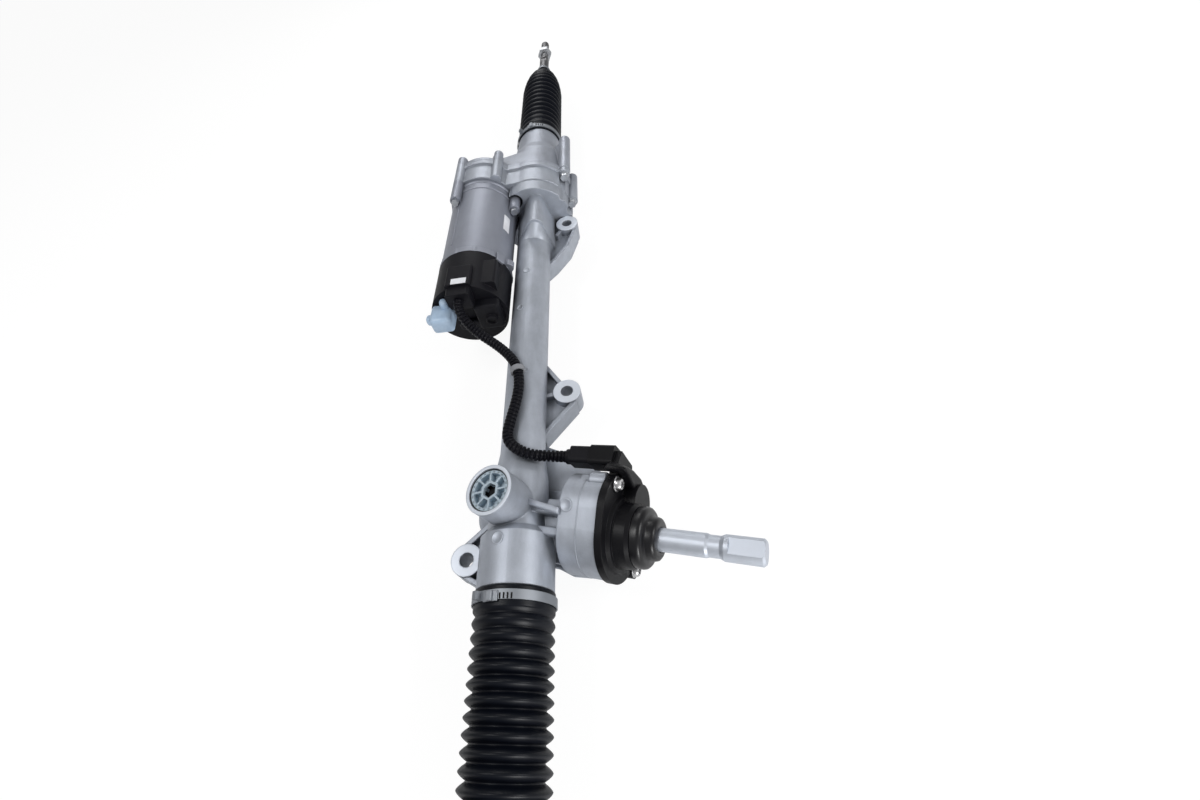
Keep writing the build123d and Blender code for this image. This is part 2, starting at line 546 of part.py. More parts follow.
with BuildPart() as pinion_nut:
    with BuildSketch(PINION.offset(LOWER_BEARING[0] - 1)):
        RegularPolygon(9.5, 6)
        Circle(LOWER_JOURNAL_R, mode=Mode.SUBTRACT)
    extrude(amount=-5)
pinion_nut.part.label = "pinion_nut"
export_step(pinion_nut.part, "parts/pinion_nut.step")

with BuildPart() as pinion_cap:
    extrude(disc(PINION.offset(-45.5), LOWER_BEARING_R), amount=5)
pinion_cap.part.label = "pinion_cap"
export_step(pinion_cap.part, "parts/pinion_cap.step")

# torsion bar, fixed in the pinion and reaching up inside the input shaft
TORSION_TO = 150.0
with BuildPart() as torsion_bar:
    revolve(outline(PINION_SIDE, [
        (8.1, 0), (8.1, TORSION_R), (34, TORSION_R), (40, TORSION_R - 0.8), (128, TORSION_R - 0.8),
        (134, TORSION_R), (TORSION_TO, TORSION_R), (TORSION_TO, 0)]), axis=PINION_AXIS)
torsion_bar.part.label = "torsion_bar"
export_step(torsion_bar.part, "parts/torsion_bar.step")

with BuildPart() as input_shaft:
    revolve(outline(PINION_SIDE, [
        (CUP_FROM + 1, 0), (CUP_FROM + 1, FOOT_R), (CUP_TO + 1, FOOT_R), (CUP_TO + 1, SHAFT_R + 1.2),
        (98, SHAFT_R + 1.2), (100, SHAFT_R), (152, SHAFT_R), (154, SHAFT_R - 0.8), (162, SHAFT_R - 0.8),
        (165, SHAFT_TIP_R), (SHAFT_TO - 1.5, SHAFT_TIP_R), (SHAFT_TO, SHAFT_TIP_R - 1.5), (SHAFT_TO, 0)]),
        axis=PINION_AXIS)
    revolve(band(PINION_SIDE, CUP_FROM, TORSION_TO + 1, TORSION_R + RUN), axis=PINION_AXIS, mode=Mode.SUBTRACT)
    # two flats on the tip key the steering column's joint
    with BuildSketch(PINION.offset(168)):
        with Locations((0, 12), (0, -12)):
            Rectangle(30, 2 * (12 - TIP_FLAT))
    extrude(amount=SHAFT_TO - 168 + 1, mode=Mode.SUBTRACT)
input_shaft.part.label = "input_shaft"
export_step(input_shaft.part, "parts/input_shaft.step")

with BuildPart() as magnet_ring:
    revolve(band(PINION_SIDE, 60, 72, 17, SHAFT_R + 1.2 + SEAT), axis=PINION_AXIS)
magnet_ring.part.label = "magnet_ring"
export_step(magnet_ring.part, "parts/magnet_ring.step")

with BuildPart() as flux_rotor:
    revolve(outline(PINION_SIDE, [
        (44, JOURNAL_R), (44, 16), (57, 16), (57, 20.5), (74, 20.5), (74, 18), (59, 18), (59, 13), (52, 13),
        (52, JOURNAL_R)]), axis=PINION_AXIS)
flux_rotor.part.label = "flux_rotor"
export_step(flux_rotor.part, "parts/flux_rotor.step")

with BuildPart() as pinion_upper_bearing:
    revolve(band(PINION_SIDE, UPPER_BEARING[0] + 0.1, UPPER_BEARING[1], UPPER_BEARING_R, JOURNAL_R), axis=PINION_AXIS)
pinion_upper_bearing.part.label = "pinion_upper_bearing"
export_step(pinion_upper_bearing.part, "parts/pinion_upper_bearing.step")

with BuildPart() as pinion_lower_bearing:
    revolve(band(PINION_SIDE, LOWER_BEARING[0] + 0.1, LOWER_BEARING[1], LOWER_BEARING_R, LOWER_JOURNAL_R),
            axis=PINION_AXIS)
pinion_lower_bearing.part.label = "pinion_lower_bearing"
export_step(pinion_lower_bearing.part, "parts/pinion_lower_bearing.step")

with BuildPart() as bearing_clip:
    revolve(band(PINION_SIDE, UPPER_BEARING[1] + 0.1, UPPER_BEARING[1] + 3, UPPER_BEARING_R, 13), axis=PINION_AXIS)
bearing_clip.part.label = "bearing_clip"
export_step(bearing_clip.part, "parts/bearing_clip.step")

# ---------------------------------------------------------------- torque sensor
with BuildPart() as sensor_board:
    revolve(band(PINION_SIDE, 64, 66, SENSOR_R - SENSOR_WALL - AIR, 21.5), axis=PINION_AXIS)
    with BuildSketch(PINION.offset(66)):
        with Locations((26.5, 0)):
            Rectangle(7, 12)
    extrude(amount=5)
sensor_board.part.label = "sensor_board"
export_step(sensor_board.part, "parts/sensor_board.step")

SOCKET_AT = (53.5, 25.0)  # plug and socket of the sensor, across the pinion
SOCKET_FROM = 60.0
PLUG_FROM = 36.0
DOME_R = 26.0
with BuildPart() as sensor_cover:
    extrude(sensor_outline(PINION.offset(SENSOR_TO), 1.5), amount=COVER_FLANGE)
    extrude(disc(PINION.offset(SENSOR_TO), 7.0, at=SENSOR_SCREWS), amount=COVER_FLANGE + 1)
    revolve(outline(PINION_SIDE, [
        (SENSOR_TO + COVER_FLANGE - 1, 0), (SENSOR_TO + COVER_FLANGE - 1, DOME_R + 5), (SENSOR_TO + 9, DOME_R + 3),
        (SENSOR_TO + 9, DOME_R), (SENSOR_TO + 18, DOME_R - 1), (SENSOR_TO + 21, DOME_R - 2.5),
        (SENSOR_TO + 21, 0)]), axis=PINION_AXIS)
    # raised lobe over the board
    extrude(disc(PINION.offset(SENSOR_TO), 17, at=((26, -4),)), amount=17)
    # arm to the plug socket, which opens towards the motor's side
    with BuildSketch(PINION.offset(SENSOR_TO)):
        with BuildLine():
            Polyline((20, -14), (SOCKET_AT[0] + 3, SOCKET_AT[1] - 20), (SOCKET_AT[0] + 5, SOCKET_AT[1] + 4),
                     (SOCKET_AT[0] - 10, SOCKET_AT[1] + 8), (20, 26), close=True)
        make_face()
    extrude(amount=COVER_FLANGE)
    with BuildSketch(PINION.offset(SOCKET_FROM)):
        with Locations(SOCKET_AT):
            RectangleRounded(17, 19, 3)
    extrude(amount=SENSOR_TO - SOCKET_FROM + 1)
    revolve(band(PINION_SIDE, SENSOR_TO - 1, SENSOR_TO + 18, DOME_R - 6), axis=PINION_AXIS, mode=Mode.SUBTRACT)
    revolve(band(PINION_SIDE, SENSOR_TO - 1, SENSOR_TO + 22, SHAFT_R + 3.4), axis=PINION_AXIS, mode=Mode.SUBTRACT)
    extrude(disc(PINION.offset(SENSOR_TO - 1), 2.5 + 0.3, at=SENSOR_SCREWS), amount=COVER_FLANGE + 3,
            mode=Mode.SUBTRACT)
    extrude(disc(PINION.offset(SENSOR_TO + COVER_FLANGE + 1), 6.2, at=SENSOR_SCREWS), amount=12,
            mode=Mode.SUBTRACT)
sensor_cover.part.label = "sensor_cover"
export_step(sensor_cover.part, "parts/sensor_cover.step")

with BuildPart() as sensor_cover_screws:
    for place in SENSOR_SCREWS:
        extrude(disc(PINION.offset(SENSOR_TO - 12), 2.5, at=(place,)), amount=12 + COVER_FLANGE + 1)
        extrude(disc(PINION.offset(SENSOR_TO + COVER_FLANGE + 1), 5.4, at=(place,)), amount=1.4)
        extrude(disc(PINION.offset(SENSOR_TO + COVER_FLANGE + 2.4), 4.1, 1.9, at=(place,)), amount=4.4)
sensor_cover_screws.part.label = "sensor_cover_screws"
export_step(sensor_cover_screws.part, "parts/sensor_cover_screws.step")

with BuildPart() as shaft_boot:
    revolve(outline(PINION_SIDE, [
        (SENSOR_TO + 21.05, SHAFT_R + 1.2 + RUN), (SENSOR_TO + 21.05, BOOT_R), (SENSOR_TO + 25, BOOT_R),
        (BOOT_TO, BOOT_TIP_R), (BOOT_TO, SHAFT_R + RUN), (SENSOR_TO + 24, SHAFT_R + RUN)]),
        axis=PINION_AXIS)
shaft_boot.part.label = "shaft_boot"
export_step(shaft_boot.part, "parts/shaft_boot.step")

# ---------------------------------------------------------------- ball nut, its bearing and the belt drive
with BuildPart() as ball_nut:
    revolve(outline(RACK_SIDE, [
        (NUT_FROM_X, NUT_BORE_R), (NUT_FROM_X, NUT_R), (BELT_X + BELT_WIDTH + 1, NUT_R),
        (BELT_X + BELT_WIDTH + 1, NUT_R + 4), (NUT_BEARING_X - 3, NUT_R + 4), (NUT_BEARING_X - 3, NUT_R - RUN),
        (NUT_BEARING_X + NUT_BEARING_WIDTH + 2, NUT_R - RUN), (NUT_BEARING_X + NUT_BEARING_WIDTH + 2, NUT_R + 3),
        (NUT_TO_X, NUT_R + 3), (NUT_TO_X, NUT_BORE_R)]), axis=RACK_AXIS)
    # annular track for the balls
    revolve(band(RACK_SIDE, BALLS_X - BALL_R - RUN, BALLS_X + BALL_R + RUN, SCREW_R + 2 * BALL_R + 2 * RUN,
                 NUT_BORE_R - 1), axis=RACK_AXIS, mode=Mode.SUBTRACT)
ball_nut.part.label = "ball_nut"
export_step(ball_nut.part, "parts/ball_nut.step")

with BuildPart() as nut_balls:
    with BuildSketch(across(BALLS_X)) as ball_ring:
        with PolarLocations(SCREW_R + BALL_R + RUN, BALLS):
            Circle(1)
    for spot in ball_ring.sketch.faces():
        with Locations(spot.center()):
            Sphere(BALL_R)
nut_balls.part.label = "nut_balls"
export_step(nut_balls.part, "parts/nut_balls.step")

with BuildPart() as ball_nut_bearing:
    revolve(band(RACK_SIDE, NUT_BEARING_X + 0.1, NUT_BEARING_X + NUT_BEARING_WIDTH, NUT_BEARING_R, NUT_R),
            axis=RACK_AXIS)
ball_nut_bearing.part.label = "ball_nut_bearing"
export_step(ball_nut_bearing.part, "parts/ball_nut_bearing.step")

with BuildPart() as bearing_lock_ring:
    revolve(band(RACK_SIDE, NUT_BEARING_X - 7, NUT_BEARING_X, NUT_BEARING_R, NUT_R + 6), axis=RACK_AXIS)
bearing_lock_ring.part.label = "bearing_lock_ring"
export_step(bearing_lock_ring.part, "parts/bearing_lock_ring.step")

with BuildPart() as nut_pulley:
    extrude(disc(across(BELT_X), NUT_PULLEY_R, NUT_R + SEAT), amount=BELT_WIDTH)
nut_pulley.part.label = "nut_pulley"
export_step(nut_pulley.part, "parts/nut_pulley.step")

with BuildPart() as motor_pulley:
    extrude(disc(across(BELT_X, MOTOR_Y, MOTOR_Z), MOTOR_PULLEY_R, MOTOR_SHAFT_R + SEAT), amount=BELT_WIDTH)
motor_pulley.part.label = "motor_pulley"
export_step(motor_pulley.part, "parts/motor_pulley.step")

with BuildPart() as drive_belt:
    extrude(two_round_hull(across(BELT_X + 1), NUT_PULLEY_R + AIR + BELT_THICK, MOTOR_PULLEY_R + AIR + BELT_THICK),
            amount=BELT_WIDTH - 2)
    extrude(two_round_hull(across(BELT_X), NUT_PULLEY_R + AIR, MOTOR_PULLEY_R + AIR), amount=BELT_WIDTH,
            mode=Mode.SUBTRACT)
drive_belt.part.label = "drive_belt"
export_step(drive_belt.part, "parts/drive_belt.step")

# ---------------------------------------------------------------- motor
MOTOR_BOSS = 35.0
with BuildPart() as motor_housing:
    revolve(outline(MOTOR_SIDE, [
        (MOTOR_FROM_X, MOTOR_R - MOTOR_WALL), (MOTOR_FROM_X, MOTOR_R + 1.2), (MOTOR_FROM_X + 7, MOTOR_R + 1.2),
        (MOTOR_FROM_X + 8, MOTOR_R), (CASE_X - 5, MOTOR_R), (CASE_X - 4, MOTOR_R + 1), (CASE_X - 0.1, MOTOR_R + 1),
        (CASE_X - 0.1, 20), (CASE_X + 3.5, 20), (CASE_X + 3.5, MOTOR_SHAFT_R + 4),
        (CASE_X - 4, MOTOR_SHAFT_R + 4), (CASE_X - 4, MOTOR_BEARING_R + SEAT), (CASE_X - 15, MOTOR_BEARING_R + SEAT),
        (CASE_X - 15, MOTOR_BEARING_R + 4), (CASE_X - 10, MOTOR_R - MOTOR_WALL)]), axis=MOTOR_AXIS)
    extrude(disc(across(CASE_X - MOTOR_BOSS, MOTOR_Y, MOTOR_Z), MOTOR_BOSS_R, at=MOTOR_BOSSES), amount=MOTOR_BOSS - 0.1)
    extrude(disc(across(MOTOR_FROM_X, MOTOR_Y, MOTOR_Z), 6.0, at=((-41.5, 10.0),)), amount=8)
    extrude(disc(across(MOTOR_FROM_X - 1, MOTOR_Y, MOTOR_Z), MOTOR_R - MOTOR_WALL), amount=CASE_X - MOTOR_FROM_X - 14,
            mode=Mode.SUBTRACT)
    extrude(disc(across(CASE_X - MOTOR_BOSS - 1, MOTOR_Y, MOTOR_Z), 2.5 + SEAT, at=MOTOR_BOSSES),
            amount=MOTOR_BOSS + 2, mode=Mode.SUBTRACT)
motor_housing.part.label = "motor_housing"
export_step(motor_housing.part, "parts/motor_housing.step")

with BuildPart() as motor_screws:
    for y, z in MOTOR_BOSSES:
        extrude(disc(across(CASE_X - MOTOR_BOSS - 0.2, MOTOR_Y + y, MOTOR_Z + z), 2.5), amount=MOTOR_BOSS + 4)
        with BuildSketch(across(CASE_X - MOTOR_BOSS - 0.1, MOTOR_Y + y, MOTOR_Z + z)):
            RegularPolygon(4.6, 6)
        extrude(amount=-4.5)
motor_screws.part.label = "motor_screws"
export_step(motor_screws.part, "parts/motor_screws.step")

with BuildPart() as motor_stator:
    extrude(disc(across(345, MOTOR_Y, MOTOR_Z), MOTOR_R - MOTOR_WALL - SEAT, STATOR_BORE_R), amount=75)
motor_stator.part.label = "motor_stator"
export_step(motor_stator.part, "parts/motor_stator.step")

with BuildPart() as motor_rotor:
    revolve(outline(MOTOR_SIDE, [
        (324, 0), (324, MOTOR_SHAFT_R - RUN), (343, MOTOR_SHAFT_R - RUN), (343, 9), (347, 9), (347, ROTOR_R),
        (418, ROTOR_R), (418, 9), (CASE_X - 16, 9), (CASE_X - 16, MOTOR_SHAFT_R - RUN),
        (BELT_X + BELT_WIDTH + 2, MOTOR_SHAFT_R - RUN), (BELT_X + BELT_WIDTH + 2, 0)]), axis=MOTOR_AXIS)
motor_rotor.part.label = "motor_rotor"
export_step(motor_rotor.part, "parts/motor_rotor.step")

END_PLATE_X = 326.0
with BuildPart() as motor_end_plate:
    extrude(disc(across(END_PLATE_X, MOTOR_Y, MOTOR_Z), MOTOR_R - MOTOR_WALL - SEAT, MOTOR_BEARING_R + SEAT), amount=10)
motor_end_plate.part.label = "motor_end_plate"
export_step(motor_end_plate.part, "parts/motor_end_plate.step")

with BuildPart() as motor_bearings:
    for x in (END_PLATE_X + 1, CASE_X - 13.5):
        extrude(disc(across(x, MOTOR_Y, MOTOR_Z), MOTOR_BEARING_R, MOTOR_SHAFT_R), amount=8)
motor_bearings.part.label = "motor_bearings"
export_step(motor_bearings.part, "parts/motor_bearings.step")

# ---------------------------------------------------------------- control unit on the motor's near end
SENSOR_PLUG_Z = 33.0  # the small plug, above the motor axis
TONGUE = 14.0  # power socket, which stands out of the near face
TONGUE_SIZE = (20.0, 17.0)
CAP_AT = (25.0, 12.0)
CAP_LENGTH = 26.0
CAP_WALL = 1.6
with BuildPart() as ecu_cover:
    extrude(disc(across(ECU_X, MOTOR_Y, MOTOR_Z), ECU_R), amount=MOTOR_FROM_X - ECU_X)
    # block over the small plug, and a raised block beside it
    with BuildSketch(across(ECU_X, MOTOR_Y, MOTOR_Z)):
        with Locations((1, 33)):
            RectangleRounded(28, 24, 3)
    extrude(amount=28)
    with BuildSketch(across(ECU_X + 8, MOTOR_Y, MOTOR_Z)):
        with Locations((-26, 17)):
            RectangleRounded(20, 38, 3)
    extrude(amount=34)
    extrude(disc(across(ECU_X + ECU_WALL, MOTOR_Y, MOTOR_Z), ECU_R - ECU_WALL), amount=MOTOR_FROM_X - ECU_X,
            mode=Mode.SUBTRACT)
    with BuildSketch(across(ECU_X - TONGUE, MOTOR_Y, MOTOR_Z)):
        with Locations(CAP_AT):
            RectangleRounded(*TONGUE_SIZE, 3)
    extrude(amount=TONGUE + 1)
ecu_cover.part.label = "ecu_cover"
export_step(ecu_cover.part, "parts/ecu_cover.step")

with BuildPart() as ecu_board:
    extrude(disc(across(300, MOTOR_Y, MOTOR_Z), ECU_R - ECU_WALL - AIR, 9), amount=2)
    with BuildSketch(across(302, MOTOR_Y, MOTOR_Z)):
        with Locations((-18, -16), (18, -16), (0, -26)):
            Rectangle(12, 9)
    extrude(amount=11)
ecu_board.part.label = "ecu_board"
export_step(ecu_board.part, "parts/ecu_board.step")

with BuildPart() as ecu_plug:
    with BuildSketch(across(ECU_X - 12, MOTOR_Y, MOTOR_Z)):
        with Locations((1, SENSOR_PLUG_Z)):
            RectangleRounded(26, 19, 4)
    extrude(amount=12)
ecu_plug.part.label = "ecu_plug"
export_step(ecu_plug.part, "parts/ecu_plug.step")

with BuildPart() as connector_cap:
    outer_size = [side + 2 * (AIR + CAP_WALL) for side in TONGUE_SIZE]
    inner_size = [side + 2 * AIR for side in TONGUE_SIZE]
    with BuildSketch(across(ECU_X - CAP_LENGTH - 0.5, MOTOR_Y, MOTOR_Z)):
        with Locations(CAP_AT):
            RectangleRounded(*outer_size, 5)
    extrude(amount=CAP_LENGTH)
    with BuildSketch(across(ECU_X - CAP_LENGTH + 1.5, MOTOR_Y, MOTOR_Z)):
        with Locations(CAP_AT):
            RectangleRounded(*inner_size, 3)
    extrude(amount=CAP_LENGTH, mode=Mode.SUBTRACT)
    # pull tab on its side
    with BuildSketch(across(ECU_X - 17, MOTOR_Y, MOTOR_Z)):
        with Locations((CAP_AT[0] + outer_size[0] / 2 + 3, CAP_AT[1])):
            RectangleRounded(8, 10, 2)
    extrude(amount=6)
connector_cap.part.label = "connector_cap"
export_step(connector_cap.part, "parts/connector_cap.step")

# ---------------------------------------------------------------- conduit from the control unit to the sensor
sensor_plug_back = PINION_AT + PINION_SIDEWAYS * SOCKET_AT[0] + YOKE_DIR * SOCKET_AT[1] + PINION_DIR * PLUG_FROM
before_plug = sensor_plug_back - PINION_DIR * 17
route = [
    (ECU_X - 12, MOTOR_Y + 1, MOTOR_Z + SENSOR_PLUG_Z),
    (ECU_X - 25, MOTOR_Y + 1, MOTOR_Z + SENSOR_PLUG_Z),
    (ECU_X - 42, MOTOR_Y - 14, 36),
    (ECU_X - 62, MOTOR_Y - 42, 29),
    (180, -38, 28),
    (160, -43, 27.5),
    (138, -42, 27.5),
    (116, -37, 27),
    (98, -34, 26.5),
    (86, -42, 28),
    (79, -57, 25.5),
    (before_plug.X, before_plug.Y, before_plug.Z),
    (sensor_plug_back.X, sensor_plug_back.Y, sensor_plug_back.Z)]
runs = [Vector(*b) - Vector(*a) for a, b in zip(route, route[1:])]
radii = []
for before, after in zip(runs, runs[1:]):
    turn = radians(before.get_angle(after))
    radii.append(0.45 * min(before.length, after.length) / tan(turn / 2))
print("conduit radii", [round(r) for r in radii], "runs", [round(run.length) for run in runs])
with BuildPart() as conduit:
    with BuildLine() as conduit_path:
        FilletPolyline(*route, radius=radii)
    with BuildSketch(Plane(origin=conduit_path.line @ 0, z_dir=conduit_path.line % 0)):
        Circle(CONDUIT_R)
    sweep(path=conduit_path.line)
conduit.part.label = "conduit"
export_step(conduit.part, "parts/conduit.step")
print("conduit volume over section", round(conduit.part.volume / (pi * CONDUIT_R**2), 1),
      "length", round(sum(piece.length for piece in conduit_path.edges()), 1))

with BuildPart() as sensor_plug:
    with BuildSketch(PINION.offset(PLUG_FROM + 5)):
        with Locations(SOCKET_AT):
            RectangleRounded(15, 17, 3)
    extrude(amount=SOCKET_FROM - PLUG_FROM - 5)
    with BuildSketch(PINION.offset(PLUG_FROM)):
        with Locations(SOCKET_AT):
            Circle(6.5)
    extrude(amount=6)
sensor_plug.part.label = "sensor_plug"
export_step(sensor_plug.part, "parts/sensor_plug.step")

clip_at = (Vector(*route[4]) + Vector(*route[5])) / 2
clip_plane = Plane(origin=clip_at, x_dir=(0, 1, 0), z_dir=Vector(*route[4]) - Vector(*route[5]))
with BuildPart() as conduit_clip:
    with BuildSketch(clip_plane.offset(-2.5)):
        Circle(CONDUIT_R + 2)
        with Locations((0, -6)):
            Rectangle(6, 8)
        Circle(CONDUIT_R + AIR, mode=Mode.SUBTRACT)
    extrude(amount=5)
    revolve(band(RACK_SIDE, 100, 220, TUBE_R + SEAT), axis=RACK_AXIS, mode=Mode.SUBTRACT)
conduit_clip.part.label = "conduit_clip"
export_step(conduit_clip.part, "parts/conduit_clip.step")

# ---------------------------------------------------------------- both ends: inner joint, rod, bellows, clamps
BELLOWS_TAPER = [(92, LIP_R - 0.5), (62, 28.0), (40, 22.0), (22, 12.5)]  # inward from the end, outer radius
BELLOWS_RIBS = {"near": (9.7, 6.5), "far": (12.9, 5.0)}  # pitch, depth
RIBS_FROM = COLLAR + 4.0
RIBS_TO = BELLOWS_LENGTH - 24.0
CREST_FLAT = 0.3  # share of the pitch


def crest_radius(at):
    """Outer radius of the bellows over its crests, at a distance from the lip."""
    stations = [(0, LIP_R)] + [(BELLOWS_LENGTH - inward, radius) for inward, radius in BELLOWS_TAPER]
    for (start, first), (end, last) in zip(stations, stations[1:]):
        if at <= end:
            return first + (last - first) * (at - start) / (end - start)
    return stations[-1][1]


def ribbed_profile(pitch, depth, inward=0.0):
    """Points of a ribbed bellows wall from lip to cuff, set inward by a wall thickness."""
    count = round((RIBS_TO - RIBS_FROM) / pitch)
    step = (RIBS_TO - RIBS_FROM) / count
    points = []
    for number in range(count):
        for share in (0.5 - CREST_FLAT / 2, 0.5 + CREST_FLAT / 2, 1.0):
            at = RIBS_FROM + (number + share) * step
            groove = depth if share == 1.0 else 0.0
            groove = min(groove, crest_radius(at) - ROD_R - 4)
            points.append((at, crest_radius(at) - groove - inward))
    return points


for end, face_x, lip_x, out in (("near", NEAR_FACE_X, NEAR_LIP_X, -1), ("far", FAR_FACE_X, FAR_LIP_X, 1)):
    joint_side = Plane(origin=(face_x, RACK_Y, 0), x_dir=(out, 0, 0), z_dir=(0, -out, 0))
    lip_side = Plane(origin=(lip_x, RACK_Y, 0), x_dir=(out, 0, 0), z_dir=(0, -out, 0))
    rod_plane = Plane(origin=(face_x + out * BALL_AT, RACK_Y, 0), x_dir=(0, 1, 0), z_dir=(out, 0, 0))

    with BuildPart() as inner_socket:
        with BuildSketch(joint_side):
            with BuildLine():
                Polyline((-20, 0), (-20, RACK_END_BORE_R - SEAT), (0.1, RACK_END_BORE_R - SEAT), (0.1, 12),
                         (WASHER + 0.1, 12), (WASHER + 0.1, JOINT_R - 1), (WASHER + 1, JOINT_R),
                         (JOINT_LENGTH - 10, JOINT_R), (JOINT_LENGTH, JOINT_R - 3), (JOINT_LENGTH, 0), close=True)
            make_face()
            with Locations((BALL_AT, 0)):
                Circle(ROD_BALL_R + RUN + SEAT_WALL + RUN, mode=Mode.SUBTRACT)
            with BuildLine():
                Polyline((BALL_AT + 6, 0), (BALL_AT + 6, 12.2), (BALL_AT + 9, 11.6), (JOINT_LENGTH + 1, 14.5),
                         (JOINT_LENGTH + 1, 0), close=True)
            make_face(mode=Mode.SUBTRACT)
        revolve(axis=RACK_AXIS)
    inner_socket.part.label = f"inner_socket_{end}"
    export_step(inner_socket.part, f"parts/inner_socket_{end}.step")

    with BuildPart() as stop_washer:
        revolve(band(joint_side, 0.1, WASHER, JOINT_R - 0.5, 12 + SEAT), axis=RACK_AXIS)
    stop_washer.part.label = f"stop_washer_{end}"
    export_step(stop_washer.part, f"parts/stop_washer_{end}.step")

    with BuildPart() as ball_seat:
        with BuildSketch(joint_side):
            with Locations((BALL_AT, 0)):
                Circle(ROD_BALL_R + RUN + SEAT_WALL)
                Circle(ROD_BALL_R + RUN, mode=Mode.SUBTRACT)
            with Locations((BALL_AT - 1.75, 0)):
                Rectangle(14.5, 80, align=(Align.CENTER, Align.MIN), mode=Mode.INTERSECT)
        revolve(axis=RACK_AXIS)
    ball_seat.part.label = f"ball_seat_{end}"
    export_step(ball_seat.part, f"parts/ball_seat_{end}.step")

    with BuildPart() as tie_rod:
        with BuildSketch(joint_side):
            with BuildLine():
                Polyline((BALL_AT, 0), (BALL_AT, ROD_NECK_R), (BALL_AT + 60, ROD_NECK_R), (BALL_AT + 66, ROD_R),
                         (BALL_AT + ROD_THREAD_FROM, ROD_R), (BALL_AT + ROD_THREAD_FROM + 1, ROD_RUNOUT_R),
                         (BALL_AT + LOCK_NUT_FROM + LOCK_NUT + 0.5, ROD_RUNOUT_R),
                         (BALL_AT + LOCK_NUT_FROM + LOCK_NUT + 0.5, ROD_THREAD_R),
                         (BALL_AT + ROD_LENGTH - 1.5, ROD_THREAD_R), (BALL_AT + ROD_LENGTH, ROD_THREAD_R - 1.5),
                         (BALL_AT + ROD_LENGTH, 0), close=True)
            make_face()
            with Locations((BALL_AT, 0)):
                Circle(ROD_BALL_R)
            with Locations((BALL_AT, 0)):
                Rectangle(40 + 2 * ROD_LENGTH, 80, align=(Align.CENTER, Align.MIN), mode=Mode.INTERSECT)
        revolve(axis=RACK_AXIS)
        # wrench flats before the thread
        with BuildSketch(rod_plane.offset(ROD_THREAD_FROM - 14)):
            with Locations((0, 11), (0, -11)):
                Rectangle(20, 2 * (11 - 6.5))
        extrude(amount=10, mode=Mode.SUBTRACT)
    tie_rod.part.label = f"tie_rod_{end}"
    export_step(tie_rod.part, f"parts/tie_rod_{end}.step")

    with BuildPart() as lock_nut:
        with BuildSketch(rod_plane.offset(LOCK_NUT_FROM)):
            RegularPolygon(12.1, 6)
            Circle(ROD_RUNOUT_R + SEAT, mode=Mode.SUBTRACT)
        extrude(amount=LOCK_NUT)
    lock_nut.part.label = f"lock_nut_{end}"
    export_step(lock_nut.part, f"parts/lock_nut_{end}.step")

    cuff_from = BELLOWS_LENGTH - CUFF
    with BuildPart() as bellows:
        pitch, depth = BELLOWS_RIBS[end]
        revolve(outline(lip_side, [(0, LIP_R), (RIBS_FROM, LIP_R)] + ribbed_profile(pitch, depth) + [
            (cuff_from, ROD_R + 2.3), (BELLOWS_LENGTH, ROD_R + 2.3), (BELLOWS_LENGTH, ROD_R + SEAT),
            (cuff_from, ROD_R + SEAT)] + ribbed_profile(pitch, depth, BELLOWS_WALL)[::-1] + [
            (COLLAR + 2, LIP_R - COLLAR_WALL), (0, LIP_R - COLLAR_WALL)]), axis=RACK_AXIS)
    bellows.part.label = f"bellows_{end}"
    export_step(bellows.part, f"parts/bellows_{end}.step")

    with BuildPart() as bellows_clamp:
        revolve(band(lip_side, 3.5, 10.5, LIP_R + SEAT + 1.0, LIP_R + SEAT), axis=RACK_AXIS)
        with BuildSketch(across(lip_x + out * 7 - 3)):
            with PolarLocations(LIP_R + 3.3, 1, start_angle=52):
                Rectangle(5.6, 4)
        extrude(amount=6)
    bellows_clamp.part.label = f"bellows_clamp_{end}"
    export_step(bellows_clamp.part, f"parts/bellows_clamp_{end}.step")

    with BuildPart() as bellows_clip:
        revolve(band(lip_side, BELLOWS_LENGTH - 9, BELLOWS_LENGTH - 4, ROD_R + 2.3 + SEAT + 1.2, ROD_R + 2.3 + SEAT),
                axis=RACK_AXIS)
    bellows_clip.part.label = f"bellows_clip_{end}"
    export_step(bellows_clip.part, f"parts/bellows_clip_{end}.step")
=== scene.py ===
"""Looks of an electric power-steering rack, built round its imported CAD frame.

Metres, in the CAD's own axes: the origin is the near mounting ear's top face, +X runs along the rack to
the motor end, +Y to the motor's side and +Z out of the ears. Each section is one piece or group of pieces.
"""
import math

import bpy
import bmesh
from mathutils import Matrix, Vector


